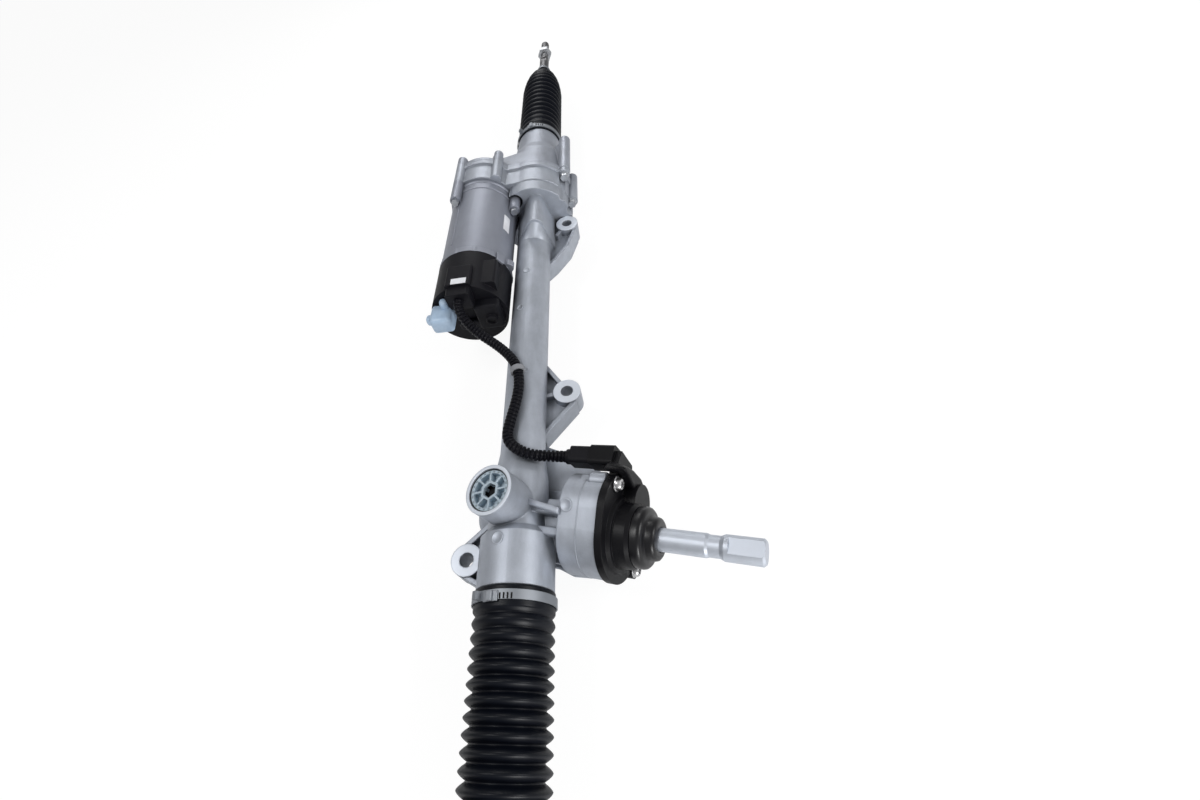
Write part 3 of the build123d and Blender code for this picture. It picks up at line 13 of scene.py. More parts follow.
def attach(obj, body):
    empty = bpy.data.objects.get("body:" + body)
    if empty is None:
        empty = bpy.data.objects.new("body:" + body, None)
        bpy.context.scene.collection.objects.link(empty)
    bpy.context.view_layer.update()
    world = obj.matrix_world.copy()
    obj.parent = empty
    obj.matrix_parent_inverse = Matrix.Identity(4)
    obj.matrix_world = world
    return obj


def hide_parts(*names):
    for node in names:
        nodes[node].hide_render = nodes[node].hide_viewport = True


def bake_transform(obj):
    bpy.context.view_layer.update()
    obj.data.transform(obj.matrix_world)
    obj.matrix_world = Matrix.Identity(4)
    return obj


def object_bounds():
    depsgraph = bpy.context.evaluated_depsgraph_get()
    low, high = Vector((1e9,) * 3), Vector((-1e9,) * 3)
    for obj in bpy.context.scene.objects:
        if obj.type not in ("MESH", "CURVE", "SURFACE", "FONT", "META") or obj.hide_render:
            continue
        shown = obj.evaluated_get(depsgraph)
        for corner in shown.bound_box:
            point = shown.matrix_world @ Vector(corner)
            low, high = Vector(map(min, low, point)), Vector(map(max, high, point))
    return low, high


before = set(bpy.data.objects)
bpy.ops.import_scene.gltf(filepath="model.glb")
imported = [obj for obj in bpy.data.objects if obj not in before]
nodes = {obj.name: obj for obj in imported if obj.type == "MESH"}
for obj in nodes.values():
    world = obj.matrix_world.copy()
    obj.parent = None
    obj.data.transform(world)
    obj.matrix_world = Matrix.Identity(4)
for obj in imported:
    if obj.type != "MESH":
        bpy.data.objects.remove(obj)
cad_low, cad_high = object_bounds()
scene = bpy.context.scene

# ---- Camera: stands over the pinion end and looks along the rack towards the motor.
# A wide lens close to the housing makes the near bellows large and the far one small.
VIEW_WIDTH = 1200.0
VIEW_HEIGHT = 800.0
LENS = 508.0  # in pixels of the view, as is the point that the lens looks at
LENS_CENTRE = (546.0, 396.5)
SENSOR = 36.0  # millimetres across
CAMERA_AT = (-0.1232, -0.1474, 0.3999)
RACK_SEEN = Vector((0.023, -0.825, 0.564))  # the rack's way, as (right, down, ahead) of the camera
UP_SEEN = Vector((-0.191, -0.559, -0.807))  # the ears' way, in the same terms
camera = bpy.data.objects.new("camera", bpy.data.cameras.new("camera"))
scene.collection.objects.link(camera)
camera.data.sensor_width = SENSOR
camera.data.lens = LENS / VIEW_WIDTH * SENSOR
camera.data.shift_x = (VIEW_WIDTH / 2 - LENS_CENTRE[0]) / VIEW_WIDTH
camera.data.shift_y = (LENS_CENTRE[1] - VIEW_HEIGHT / 2) / VIEW_WIDTH
camera.data.clip_start = 0.01
rack_seen = RACK_SEEN.normalized()
up_seen = (UP_SEEN - rack_seen * UP_SEEN.dot(rack_seen)).normalized()
side_seen = up_seen.cross(rack_seen)
right, down, ahead = (Vector(v) for v in zip(rack_seen, side_seen, up_seen))
camera.matrix_world = Matrix.Translation(CAMERA_AT) @ Matrix((right, -down, -ahead)).transposed().to_4x4()
scene.camera = camera

# ---- Studio: a pale paper floor under the rack, a white surround and four soft lamps.
# The camera sees paper and surround as white; the object sees them much dimmer, so the lamps shape it.
SURROUND_LIGHT = 0.3  # share of the surround's white that reaches the object
MIRRORED = 0.1  # share of the rest that shows in its reflections
FLOOR_DROP = 0.004
FLOOR_REACH = 12.0
PAPER_TONE = 0.86
PAPER_GLOW = 1.07
PAPER_GLOW_SHARE = 0.86
LAMPS = (  # place, aim, width and power of each
    ("window lamp", (0.05, -1.25, 0.95), (0.2, -0.05, 0.0), 0.45, 8.5),
    ("ceiling lamp", (0.1, 0.6, 1.3), (0.2, -0.05, 0.0), 0.4, 6.5),
    ("far lamp", (1.7, 0.1, 0.7), (0.4, -0.05, 0.0), 0.5, 4.0),
    ("near lamp", (-1.15, -0.55, 0.32), (0.1, -0.05, 0.0), 0.4, 9.0))
scene.view_settings.view_transform = "Standard"


class Wire:
    """A node's output that stands in sums: 1 - wire adds the Math node that works it out."""

    def __init__(self, sheet, socket):
        self.sheet, self.socket = sheet, socket

    def sum(self, operation, *values):
        return self.sheet.add("ShaderNodeMath", {"operation": operation}, dict(enumerate(values)))

    def __add__(self, other):
        return self.sum("ADD", self, other)

    def __radd__(self, other):
        return self.sum("ADD", other, self)

    def __sub__(self, other):
        return self.sum("SUBTRACT", self, other)

    def __rsub__(self, other):
        return self.sum("SUBTRACT", other, self)

    def __mul__(self, other):
        return self.sum("MULTIPLY", self, other)

    def __rmul__(self, other):
        return self.sum("MULTIPLY", other, self)

    def __truediv__(self, other):
        return self.sum("DIVIDE", self, other)

    def __gt__(self, other):
        return self.sum("GREATER_THAN", self, other)

    def __lt__(self, other):
        return self.sum("LESS_THAN", self, other)

    def __pow__(self, other):
        return self.sum("POWER", self, other)

    def sine(self):
        return self.sum("SINE", self)

    def cosine(self):
        return self.sum("COSINE", self)

    def size(self):
        return self.sum("ABSOLUTE", self)

    def least(self, other):
        return self.sum("MINIMUM", self, other)

    def most(self, other):
        return self.sum("MAXIMUM", self, other)

    def rest(self):
        return self.sum("FRACT", self)


class Sheet:
    """A node tree being written. add() makes a node of a type: settings first, then its sockets."""

    def __init__(self, tree):
        self.tree = tree

    def add(self, kind, settings=None, sockets=None, out=0):
        node = self.tree.nodes.new(kind)
        for name, value in (settings or {}).items():
            if name == "stops":
                ramp = node.color_ramp.elements
                for number, (place, tone) in enumerate(value):
                    stop = ramp[number] if number < 2 else ramp.new(place)
                    stop.position = place
                    stop.color = (tone, tone, tone, 1)
            else:
                setattr(node, name, value)
        for name, value in (sockets or {}).items():
            if isinstance(value, Wire):
                self.tree.links.new(value.socket, node.inputs[name])
            else:
                node.inputs[name].default_value = value
        return Wire(self, node.outputs[out] if len(node.outputs) else None)

    def close(self, kind, shader):
        """Ends the sheet in its output node."""
        self.add(kind)
        self.tree.links.new(shader.socket, self.tree.nodes[-1].inputs["Surface"])

    def rays(self):
        """Three wires: 1 on the camera's own rays, on mirrored ones and on those that pass through."""
        direct = self.add("ShaderNodeLightPath", out="Is Camera Ray")
        outputs = direct.socket.node.outputs
        return direct, Wire(self, outputs["Is Glossy Ray"]), Wire(self, outputs["Is Transmission Ray"])

    def place(self):
        """Object coordinates, which are the rack's own."""
        return self.add("ShaderNodeTexCoord", out="Object")

    def part(self, vector, axis):
        """One coordinate, 0 to 2, of a vector."""
        return self.add("ShaderNodeSeparateXYZ", {}, {0: vector}, axis)

    def away(self, where, origin):
        """Vector to a place from an origin."""
        return self.add("ShaderNodeVectorMath", {"operation": "SUBTRACT"}, {0: where, 1: origin})

    def along(self, vector, way):
        """How far a vector reaches along a way of length 1."""
        return self.add("ShaderNodeVectorMath", {"operation": "DOT_PRODUCT"}, {0: vector, 1: way}, "Value")

    def grain(self, where, scale, detail=2.0, rough=0.5):
        """Soft noise from 0 to 1; its lumps are about one over the scale across, in metres."""
        return self.add("ShaderNodeTexNoise", {}, {"Vector": where, "Scale": scale, "Detail": detail,
                                                   "Roughness": rough})

    def open_share(self, reach):
        """1 on open faces, less in corners and bores within reach."""
        return self.add("ShaderNodeAmbientOcclusion", {"samples": 8}, {"Distance": reach}, 1)

    def mix(self, share, low, high):
        """Colour between two colours."""
        return self.add("ShaderNodeMix", {"data_type": "RGBA"}, {0: share, 6: low, 7: high}, 2)

    def bump(self, height, depth, strength=1.0, edge=0.0):
        """Normal from a height of 0 to 1 and its depth; corners look rounded by the radius edge."""
        sockets = {"Height": height, "Distance": depth, "Strength": strength}
        if edge:
            sockets["Normal"] = self.add("ShaderNodeBevel", {"samples": 6}, {"Radius": edge})
        return self.add("ShaderNodeBump", {}, sockets)

    def surface(self, **sockets):
        """Principled surface wired to the output; names use _ for a space."""
        named = {name.replace("_", " "): value for name, value in sockets.items()}
        self.close("ShaderNodeOutputMaterial", self.add("ShaderNodeBsdfPrincipled", {}, named))


def new_finish(name):
    """An empty material and the sheet of its nodes."""
    made = bpy.data.materials.new(name)
    made.use_nodes = True
    made.node_tree.nodes.clear()
    return made, Sheet(made.node_tree)


scene.world = bpy.data.worlds.new("surround")
scene.world.use_nodes = True
scene.world.node_tree.nodes.clear()
sheet = Sheet(scene.world.node_tree)
direct, mirrored, through = sheet.rays()
seen = direct.most(mirrored * MIRRORED).most(through)
shine = sheet.add("ShaderNodeBackground", {}, {"Color": (1.0, 1.0, 1.0, 1.0),
                                               "Strength": seen * (1.0 - SURROUND_LIGHT) + SURROUND_LIGHT})
sheet.close("ShaderNodeOutputWorld", shine)

floor = bpy.data.objects.new("floor", bpy.data.meshes.new("floor"))
corners = ((-FLOOR_REACH, -FLOOR_REACH), (FLOOR_REACH, -FLOOR_REACH), (FLOOR_REACH, FLOOR_REACH),
           (-FLOOR_REACH, FLOOR_REACH))
floor.data.from_pydata([(x, y, cad_low.z - FLOOR_DROP) for x, y in corners], [], [(0, 1, 2, 3)])
scene.collection.objects.link(floor)
paper, sheet = new_finish("paper")
direct, mirrored, _ = sheet.rays()
matt = sheet.add("ShaderNodeBsdfDiffuse", {}, {"Color": (PAPER_TONE, PAPER_TONE, PAPER_TONE, 1)})
glow = sheet.add("ShaderNodeEmission", {}, {"Color": (1, 1, 1, 1), "Strength": PAPER_GLOW})
glowing = direct * PAPER_GLOW_SHARE + mirrored * MIRRORED
both = sheet.add("ShaderNodeMixShader", {}, {0: glowing, 1: matt, 2: glow})
sheet.close("ShaderNodeOutputMaterial", both)
floor.data.materials.append(paper)

for name, at, aim, width, power in LAMPS:
    lamp = bpy.data.objects.new(name, bpy.data.lights.new(name, "AREA"))
    lamp.data.size = width
    lamp.data.energy = power
    turned = (Vector(aim) - Vector(at)).to_track_quat("-Z", "Y").to_matrix().to_4x4()
    lamp.matrix_world = Matrix.Translation(at) @ turned
    scene.collection.objects.link(lamp)

# ---- Main housing: one high-pressure aluminium casting, with a matt skin and milled seats.
# The ears' faces and the yoke tower's rim are cut bright; the rest is as cast, with painted shade in its
# hollows.
HOUSING_COLOUR = (0.5, 0.535, 0.6)
MILLED_COLOUR = (0.7, 0.745, 0.82)
CAST_METAL = 0.62
MILLED_METAL = 0.25
# painted shade in the casting's hollows: how far it reaches and how dark it gets
PAINTED_SHADE_REACH = 0.011
PAINTED_SHADE_TONE = 0.34
EARS = ((0.0, 0.0), (0.1605, -0.0835), (0.4185, -0.0835))
EAR_R = 0.0137
EAR_DEPTH = 0.0003  # the ears' faces lie at height 0, give or take this
TOWER_AT = Vector((0.040, -0.043, 0.0))
TOWER_WAY = Vector((0.0, 0.2924, 0.9563))
TOWER_TOP = 0.0489
TOWER_HALF = 0.022


def paint(finish, *names):
    """Gives CAD nodes their finish."""
    for name in names:
        nodes[name].data.materials.clear()
        nodes[name].data.materials.append(finish)


def tint(colour, share=1.0):
    """A colour, darker or lighter by a share, with its alpha."""
    return (*(tone * share for tone in colour), 1)


def milled_share(sheet, where):
    """1 on the three ears' faces and on the tower's rim, 0 elsewhere."""
    x, y, z = (sheet.part(where, axis) for axis in range(3))
    level = z.size() < EAR_DEPTH
    faces = None
    for ear_x, ear_y in EARS:
        near = (x - ear_x) ** 2 + (y - ear_y) ** 2 < EAR_R ** 2
        faces = near if faces is None else faces.most(near)
    height = sheet.along(sheet.away(where, TOWER_AT), TOWER_WAY)
    rim = (height > TOWER_TOP) * ((x - TOWER_AT.x).size() < TOWER_HALF)
    return (faces * level).most(rim)


def cast_finish(name, colour, milled=False, dark=0.7, edge=0.0016):
    """Cast aluminium: mottled matt skin with fine grain, faint flow marks along the rack and painted shade in
    its corners and bores.
    """
    finish, sheet = new_finish(name)
    where = sheet.place()
    clouds = sheet.grain(where, 28, 3, 0.6)
    drawn_out = sheet.add("ShaderNodeMapping", {}, {"Vector": where, "Scale": (0.35, 1.0, 1.0)})
    flow = sheet.grain(drawn_out, 160, 4, 0.6)
    pits = sheet.grain(where, 2600, 2, 0.7)
    specks = sheet.grain(where, 900, 3, 0.75)
    mottling = (clouds * 0.5 + flow * 0.3 + specks * 0.2 - 0.5) * 3.0 + 0.5
    skin = sheet.mix(mottling, tint(colour, dark), tint(colour))
    # painted shade: the skin darkens in corners, bores and next to other parts, where shade would fall
    skin = sheet.mix(sheet.open_share(PAINTED_SHADE_REACH), tint(colour, PAINTED_SHADE_TONE), skin)
    rough = 0.39 + 0.14 * flow + 0.06 * pits
    height = pits * 0.5 + flow * 0.5
    metal = CAST_METAL
    if milled:
        face = milled_share(sheet, where)
        skin = sheet.mix(face, skin, tint(MILLED_COLOUR))
        metal = face * (MILLED_METAL - CAST_METAL) + CAST_METAL
        rough = rough * (1 - face) + 0.42 * face
        height = height * (1 - face)
    sheet.surface(Base_Color=skin, Roughness=rough, Metallic=metal,
                  Normal=sheet.bump(height, 0.00012, 0.6, edge))
    return finish


housing_skin = cast_finish("housing skin", HOUSING_COLOUR, True)
paint(housing_skin, "main_housing")

# ---- Casting details beside the pinion, all of the housing's own metal: the web from the tube to the sensor
# drum, the skirt under the drum, three short ribs up to its rim, its parting line and one screw boss.
PINION_AT = Vector((0.036, -0.048702, -0.018651))
PINION_WAY = Vector((-0.2588, -0.9237, 0.2824)).normalized()
PINION_SIDE = Vector((0.9659, -0.2475, 0.0757)).normalized()
WEB = ((0.118, -0.052), (0.108, -0.064), (0.102, -0.077), (0.0955, -0.092), (0.0895, -0.104), (0.080, -0.112),
       (0.066, -0.110), (0.056, -0.098), (0.052, -0.088), (0.052, -0.056))
WEB_LEVELS = (-0.0190, -0.0145)
SKIRT = ((0.010, -0.060), (-0.001, -0.063), (-0.003, -0.074), (-0.0095, -0.086), (-0.0125, -0.1135),
         (0.010, -0.1135))
SKIRT_LEVELS = (-0.0262, -0.0225)
# each rib: where it starts and ends along the pinion, then its sides and its top at both ends
RIBS = (((0.010, 0.049), ((0.0062, 0.0108), (-0.001, 0.004)), (0.0412, 0.0418)),
        ((0.032, 0.049), ((0.0062, 0.0130), (0.0062, 0.0130)), (0.0325, 0.0335)),
        ((0.026, 0.049), ((-0.0150, -0.0085), (-0.0150, -0.0085)), (0.0300, 0.0310)))
RIB_FOOT = 0.020
DRUM = ((0, 0, 0.036), (0.014, 0.012, 0.028))  # side, up and radius of the drum's two rounds
PARTING = ((0.0632, -0.0010), (0.0634, 0.00035), (0.0640, 0.00035), (0.0642, -0.0010))  # along, stand-off
PARTING_STEPS = 96
BOSS = ((0.0, 0.0072), (0.0120, 0.0072), (0.0132, 0.0066), (0.0132, 0.0040))  # along, radius
BOSS_AT = (0.0664, 0.0318, 0.0300)
LOBE_DEPTH = 0.16  # share of a ring's radius
SHARP_FROM = 35  # degrees at which a lathed edge looks sharp


def on_pinion(along, side, up):
    """Place in the pinion's own frame, in metres."""
    return PINION_AT + PINION_WAY * along + PINION_SIDE * side + TOWER_WAY * up


def meshed(name, mesh, finish):
    """A new object from a mesh being edited, which it frees."""
    piece = bpy.data.objects.new(name, bpy.data.meshes.new(name))
    mesh.to_mesh(piece.data)
    mesh.free()
    piece.data.materials.append(finish)
    scene.collection.objects.link(piece)
    return piece


def skinned(mesh, pairs):
    """Faces between pairs of closed rings of as many points."""
    for first, second in pairs:
        count = len(first)
        for step in range(count):
            after = (step + 1) % count
            mesh.faces.new((first[step], first[after], second[after], second[step]))


def prism(name, first, second, finish, bevel=0.0012):
    """Solid with rounded edges between two outlines of as many points."""
    mesh = bmesh.new()
    ends = [[mesh.verts.new(point) for point in outline] for outline in (first, second)]
    for outline in ends:
        mesh.faces.new(outline)
    skinned(mesh, [ends])
    bmesh.ops.recalc_face_normals(mesh, faces=mesh.faces)
    bmesh.ops.bevel(mesh, geom=list(mesh.edges), offset=bevel, segments=3, profile=0.5, affect="EDGES")
    return meshed(name, mesh, finish)


def lathed(name, rings, at, way, finish, lobes=(), rows=48, hollow=False):
    """Rings of (along, radius) round an axis, capped or hollow; those numbered in lobes are six-lobed."""
    mesh = bmesh.new()
    turn_to = Vector(way).normalized().to_track_quat("Z", "Y").to_matrix().to_4x4()
    rows_made = []
    for number, (along, radius) in enumerate(rings):
        row = []
        for step in range(rows):
            angle = 2 * math.pi * step / rows
            size = radius * (1 + (LOBE_DEPTH * math.cos(6 * angle) if number in lobes else 0))
            row.append(mesh.verts.new((size * math.cos(angle), size * math.sin(angle), along)))
        rows_made.append(row)
    pairs = list(zip(rows_made, rows_made[1:]))
    if hollow:
        pairs.append((rows_made[-1], rows_made[0]))
    else:
        mesh.faces.new(rows_made[0][::-1])
        mesh.faces.new(rows_made[-1])
    skinned(mesh, pairs)
    bmesh.ops.transform(mesh, matrix=Matrix.Translation(at) @ turn_to, verts=mesh.verts)
    bmesh.ops.recalc_face_normals(mesh, faces=mesh.faces)
    piece = meshed(name, mesh, finish)
    piece.data.shade_smooth()
    piece.data.set_sharp_from_angle(angle=math.radians(SHARP_FROM))
    return piece


def joined(name, pieces):
    """One object from several."""
    whole = pieces[0]
    with bpy.context.temp_override(active_object=whole, selected_editable_objects=pieces, object=whole):
        bpy.ops.object.join()
    whole.name = name
    return whole


def hull_outline(circles, steps):
    """Points round the hull of circles of (side, up, radius)."""
    points = []
    for step in range(steps):
        angle = 2 * math.pi * step / steps
        ahead = (math.cos(angle), math.sin(angle))
        side, up, radius = max(circles, key=lambda c: c[0] * ahead[0] + c[1] * ahead[1] + c[2])
        points.append((side + radius * ahead[0], up + radius * ahead[1]))
    return points


cast_pieces = [prism(name, *([(x, y, height) for x, y in points] for height in levels), housing_skin)
               for name, points, levels in (("web", WEB, WEB_LEVELS), ("skirt", SKIRT, SKIRT_LEVELS))]
for along, sides, tops in RIBS:
    ends = [[on_pinion(at, u, v) for u, v in ((low, RIB_FOOT), (high, RIB_FOOT), (high, top), (low, top))]
            for at, (low, high), top in zip(along, sides, tops)]
    cast_pieces.append(prism("rib", *ends, housing_skin))
mesh = bmesh.new()
rings = []
for along, stand_off in PARTING:
    outline = hull_outline([(side, up, radius + stand_off) for side, up, radius in DRUM], PARTING_STEPS)
    rings.append([mesh.verts.new(on_pinion(along, side, up)) for side, up in outline])
skinned(mesh, zip(rings, rings[1:] + rings[:1]))
bmesh.ops.recalc_face_normals(mesh, faces=mesh.faces)
cast_pieces.append(meshed("parting", mesh, housing_skin))
cast_pieces.append(lathed("boss", BOSS, on_pinion(*BOSS_AT), PINION_WAY, housing_skin))
casting = joined("pinion_casting", cast_pieces)
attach(casting, "housing")

# ---- Marks of the casting: low round ejector pads on the tube, on the sensor drum and on the near body.
# They are of the housing's metal, with a sharper edge than the rest of it.
RACK_Y = -0.043
PAD_HEIGHT = 0.0016
TUBE_PAD_R = 0.0042
BODY_PAD_R = 0.0052
TUBE_PADS = ((0.262, 70.0), (0.176, 96.0), (0.318, 84.0))  # along the rack, turn round it
TUBE_PAD_FOOT = 0.0193
DRUM_PAD = (0.0535, 0.0073, 0.0382)
DRUM_PAD_WAY = PINION_SIDE * -0.242 + TOWER_WAY * 0.970
BODY_PAD = (0.0073, 73.0, 0.0298)


def on_round(x, turn, radius, axis=(RACK_Y, 0.0)):
    """Matrix at a turn in degrees round an axis along X: its own Z points outward, its X along the axis."""
    angle = math.radians(turn)
    out = Vector((0, math.cos(angle), math.sin(angle)))
    side = out.cross(Vector((1, 0, 0)))
    spot = Vector((x, axis[0], axis[1])) + out * radius
    return Matrix.Translation(spot) @ Matrix((Vector((1, 0, 0)), -side, out)).transposed().to_4x4()


def pad(at, way, radius):
    """Low disc with a raised rim."""
    rings = [(0.0, radius), (PAD_HEIGHT - 0.0002, radius), (PAD_HEIGHT, radius - 0.0003),
             (PAD_HEIGHT, radius - 0.001), (PAD_HEIGHT - 0.0002, radius - 0.0013)]
    return lathed("pad", rings, at, way, pad_skin, rows=32)


pad_skin = cast_finish("pad skin", HOUSING_COLOUR, edge=0.0002)
pads = []
for x, turn in TUBE_PADS:
    spot = on_round(x, turn, TUBE_PAD_FOOT)
    pads.append(pad(spot.translation, spot.to_3x3().col[2], TUBE_PAD_R))
pads.append(pad(on_pinion(*DRUM_PAD), DRUM_PAD_WAY, BODY_PAD_R))
spot = on_round(*BODY_PAD)
pads.append(pad(spot.translation, spot.to_3x3().col[2], BODY_PAD_R))
marks = joined("ejector_pads", pads)
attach(marks, "housing")

# ---- Belt cover: the far half of the belt case, cast in a slightly darker alloy.
# Six zinc-plated hexagon screws hold it on the housing.
cover_skin = cast_finish("belt cover skin", (0.45, 0.48, 0.545))
paint(cover_skin, "belt_cover")


def steel_finish(name, colour, rough=0.3):
    """Bright or dark steel, softly clouded, with a fine ground skin."""
    finish, sheet = new_finish(name)
    where = sheet.place()
    clouds = sheet.grain(where, 90, 3, 0.6)
    fine = sheet.grain(where, 3200, 1, 0.5)
    sheet.surface(Base_Color=sheet.mix(clouds, tint(colour, 0.82), tint(colour)), Metallic=1.0,
                  Roughness=clouds * 0.12 + rough, Normal=sheet.bump(fine, 0.00003, 0.35))
    return finish


zinc = steel_finish("zinc plate", (0.6, 0.62, 0.65), 0.34)
paint(zinc, "belt_cover_screws")

# ---- Works inside: rack, pinion, ball nut, bearings, pulleys, spring and rotor of steel, copper windings,
# polymer bush and ball seats, rubber belt, washers and ring, and two boards. The yoke and the pinion's cap
# are die-cast.
can_skin = cast_finish("motor can skin", (0.35, 0.37, 0.43), dark=0.84)


def moulded_finish(name, colour, rough=0.45, grain=0.00004, sheen=0.16):
    """Moulded plastic with a fine spark-eroded grain and faint handling marks."""
    finish, sheet = new_finish(name)
    where = sheet.place()
    clouds = sheet.grain(where, 60, 3, 0.6)
    fine = sheet.grain(where, 4200, 2, 0.6)
    sheet.surface(Base_Color=sheet.mix(clouds, tint(colour), tint(colour, 1.6)), Specular_IOR_Level=sheen,
                  Roughness=clouds * 0.14 + rough, Normal=sheet.bump(fine, grain, 0.5, 0.0008))
    return finish


def rubber_finish(name, colour, rough=0.5, sheen=0.22):
    """Black rubber: a bluish bloom in clouds over a fine matt skin."""
    finish, sheet = new_finish(name)
    where = sheet.place()
    bloom = sheet.grain(where, 45, 4, 0.65)
    fine = sheet.grain(where, 1500, 2, 0.6)
    sheet.surface(Base_Color=sheet.mix(bloom, tint(colour), tint(colour, 1.9)), Specular_IOR_Level=sheen,
                  Roughness=bloom * 0.18 + rough, Normal=sheet.bump(fine, 0.00006, 0.4))
    return finish


rubber = rubber_finish("boot rubber", (0.003, 0.003, 0.004), 0.24, 0.4)
bright_steel = steel_finish("bright steel", (0.72, 0.72, 0.73), 0.22)
dark_steel = steel_finish("dark steel", (0.12, 0.12, 0.125), 0.42)
paint(bright_steel, "motor_rotor", "motor_bearings", "ball_nut", "nut_balls", "ball_nut_bearing", "pinion",
      "pinion_upper_bearing", "pinion_lower_bearing", "rack_bar")
paint(dark_steel, "motor_pulley", "nut_pulley", "bearing_lock_ring", "torsion_bar", "flux_rotor",
      "bearing_clip", "yoke_spring", "inner_socket_near", "inner_socket_far", "magnet_ring")
paint(steel_finish("lacquered copper", (0.5, 0.25, 0.12), 0.4), "motor_stator")
paint(moulded_finish("bearing polymer", (0.5, 0.48, 0.42), 0.45), "rack_bush", "ball_seat_near",
      "ball_seat_far")
paint(moulded_finish("board green", (0.03, 0.2, 0.08), 0.35), "ecu_board", "sensor_board")
paint(rubber, "yoke_o_ring", "drive_belt", "stop_washer_near", "stop_washer_far")
paint(can_skin, "yoke", "pinion_cap")
paint(zinc, "pinion_nut")

# ---- Motor: a smooth cast can with its end plate, held on the belt case by three hexagon screws.
# A flange meets the control unit, a collar ends the can, and a seam rib and two lugs stand on its side.
MOTOR_AXIS = (0.020, 0.017)
FLANGE_R = 0.0429
FLANGE_FROM = 0.3165
FLANGE_TO = 0.3245
CAN_COLLAR_AT = 0.4330
CAN_COLLAR = ((0.0, 0.0400), (0.0, 0.0414), (0.0004, 0.0417), (0.0036, 0.0417), (0.0040, 0.0414),
              (0.0040, 0.0400))  # along, radius
# each is (along the rack, turn, radius) about the motor's axis, then its three sides
SEAM_RIB = ((0.3835, 62.0, 0.0408), (0.092, 0.0026, 0.0016))
COLLAR_LUG = ((0.4290, 58.0, 0.0414), (0.0050, 0.0090, 0.0030))
FLANGE_LUG = ((0.3185, 146.0, 0.0405), (0.0120, 0.0100, 0.0080))


def boxes(name, places, finish, bevel=0.0005):
    """Rounded boxes in one mesh: each place is a matrix and its three sides."""
    mesh = bmesh.new()
    for place, sides in places:
        made = bmesh.ops.create_cube(mesh, size=1.0)["verts"]
        bmesh.ops.scale(mesh, vec=sides, verts=made)
        edges = [edge for edge in mesh.edges if edge.verts[0] in made]
        bevelled = bmesh.ops.bevel(mesh, geom=edges, offset=min(bevel, min(sides) * 0.45), segments=3,
                                   profile=0.5, affect="EDGES")
        whole = {vert for face in bevelled["faces"] for vert in face.verts}
        bmesh.ops.transform(mesh, matrix=place, verts=list(whole))
    return meshed(name, mesh, finish)


def flange_outline(x):
    """Twelve corners round the motor's axis."""
    y, z = MOTOR_AXIS
    turns = [math.radians(turn) for turn in range(15, 375, 30)]
    return [(x, y + FLANGE_R * math.cos(turn), z + FLANGE_R * math.sin(turn)) for turn in turns]


paint(can_skin, "motor_housing", "motor_end_plate")
paint(zinc, "motor_screws")
collar = lathed("collar", CAN_COLLAR, (CAN_COLLAR_AT, *MOTOR_AXIS), (1, 0, 0), can_skin, rows=96, hollow=True)
lugs = boxes("lug", [(on_round(*at, MOTOR_AXIS), sides) for at, sides in (SEAM_RIB, COLLAR_LUG, FLANGE_LUG)],
             can_skin, 0.0007)
bands = joined("motor_bands", [collar, lugs])
flange = prism("motor_flange", flange_outline(FLANGE_FROM), flange_outline(FLANGE_TO), can_skin, 0.0009)
for piece in (bands, flange):
    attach(piece, "housing")

# ---- Control unit: black glass-filled nylon on the motor's near end, with its two plugs.
# Its face carries the deep connector block, a round seal and the collar of the small plug.
CONNECTOR_BLOCK = ((0.2565, -0.0035, 0.0210), (0.013, 0.027, 0.034))  # centre and sides, as of the others
PLUG_COLLAR = ((0.2575, 0.0215, 0.0455), (0.011, 0.0265, 0.021))
LOWER_BLOCK = ((0.2590, 0.0180, 0.0060), (0.007, 0.034, 0.012))
SEAL_AT = (0.2502, -0.0062, 0.0195)
SEAL = ((0.0, 0.0064), (0.0035, 0.0064), (0.0040, 0.0059), (0.0040, 0.0045), (0.0022, 0.0041))


def upright(*blocks):
    """Places for boxes(), from centres and sides."""
    return [(Matrix.Translation(at), sides) for at, sides in blocks]


black_nylon = moulded_finish("black nylon", (0.005, 0.005, 0.007), 0.42)
paint(black_nylon, "ecu_cover", "ecu_plug", "sensor_plug")
face_blocks = boxes("ecu_face_blocks", upright(CONNECTOR_BLOCK, PLUG_COLLAR, LOWER_BLOCK), black_nylon,
                    0.0025)
seal = lathed("seal", SEAL, SEAL_AT, (-1, 0, 0), black_nylon)
control_face = joined("ecu_face", [face_blocks, seal])
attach(control_face, "housing")

# ---- Bare plates: a label bent round the motor's can and a flat one on the control unit.
# Both are white polymer film and left blank.
LABEL_X = (0.373, 0.399)
LABEL_TURNS = (147.0, 161.0)
LABEL_R = 0.04102
LABEL_THICK = 0.0002
LABEL_STEPS = 8
FLAT_LABEL = ((0.2668, 0.0195, 0.06215), (0.0078, 0.0165, 0.0004))
plate_white = moulded_finish("label white", (0.62, 0.63, 0.66), 0.4, 0.00002)


def curved_plate(name, x, turns, radius, axis, thick, finish):
    """Thin plate bent round an axis along X, closed all round."""
    mesh = bmesh.new()
    loops = []
    for depth in (0.0, thick):
        for at in x:
            row = []
            for number in range(LABEL_STEPS + 1):
                angle = math.radians(turns[0] + (turns[1] - turns[0]) * number / LABEL_STEPS)
                row.append(mesh.verts.new((at, axis[0] + (radius + depth) * math.cos(angle),
                                           axis[1] + (radius + depth) * math.sin(angle))))
            loops.append(row)
    for first, second in ((0, 1), (1, 3), (3, 2), (2, 0)):
        for number in range(LABEL_STEPS):
            mesh.faces.new((loops[first][number], loops[first][number + 1], loops[second][number + 1],
                            loops[second][number]))
    for number in (0, LABEL_STEPS):
        mesh.faces.new([loops[row][number] for row in (0, 1, 3, 2)])
    bmesh.ops.recalc_face_normals(mesh, faces=mesh.faces)
    return meshed(name, mesh, finish)


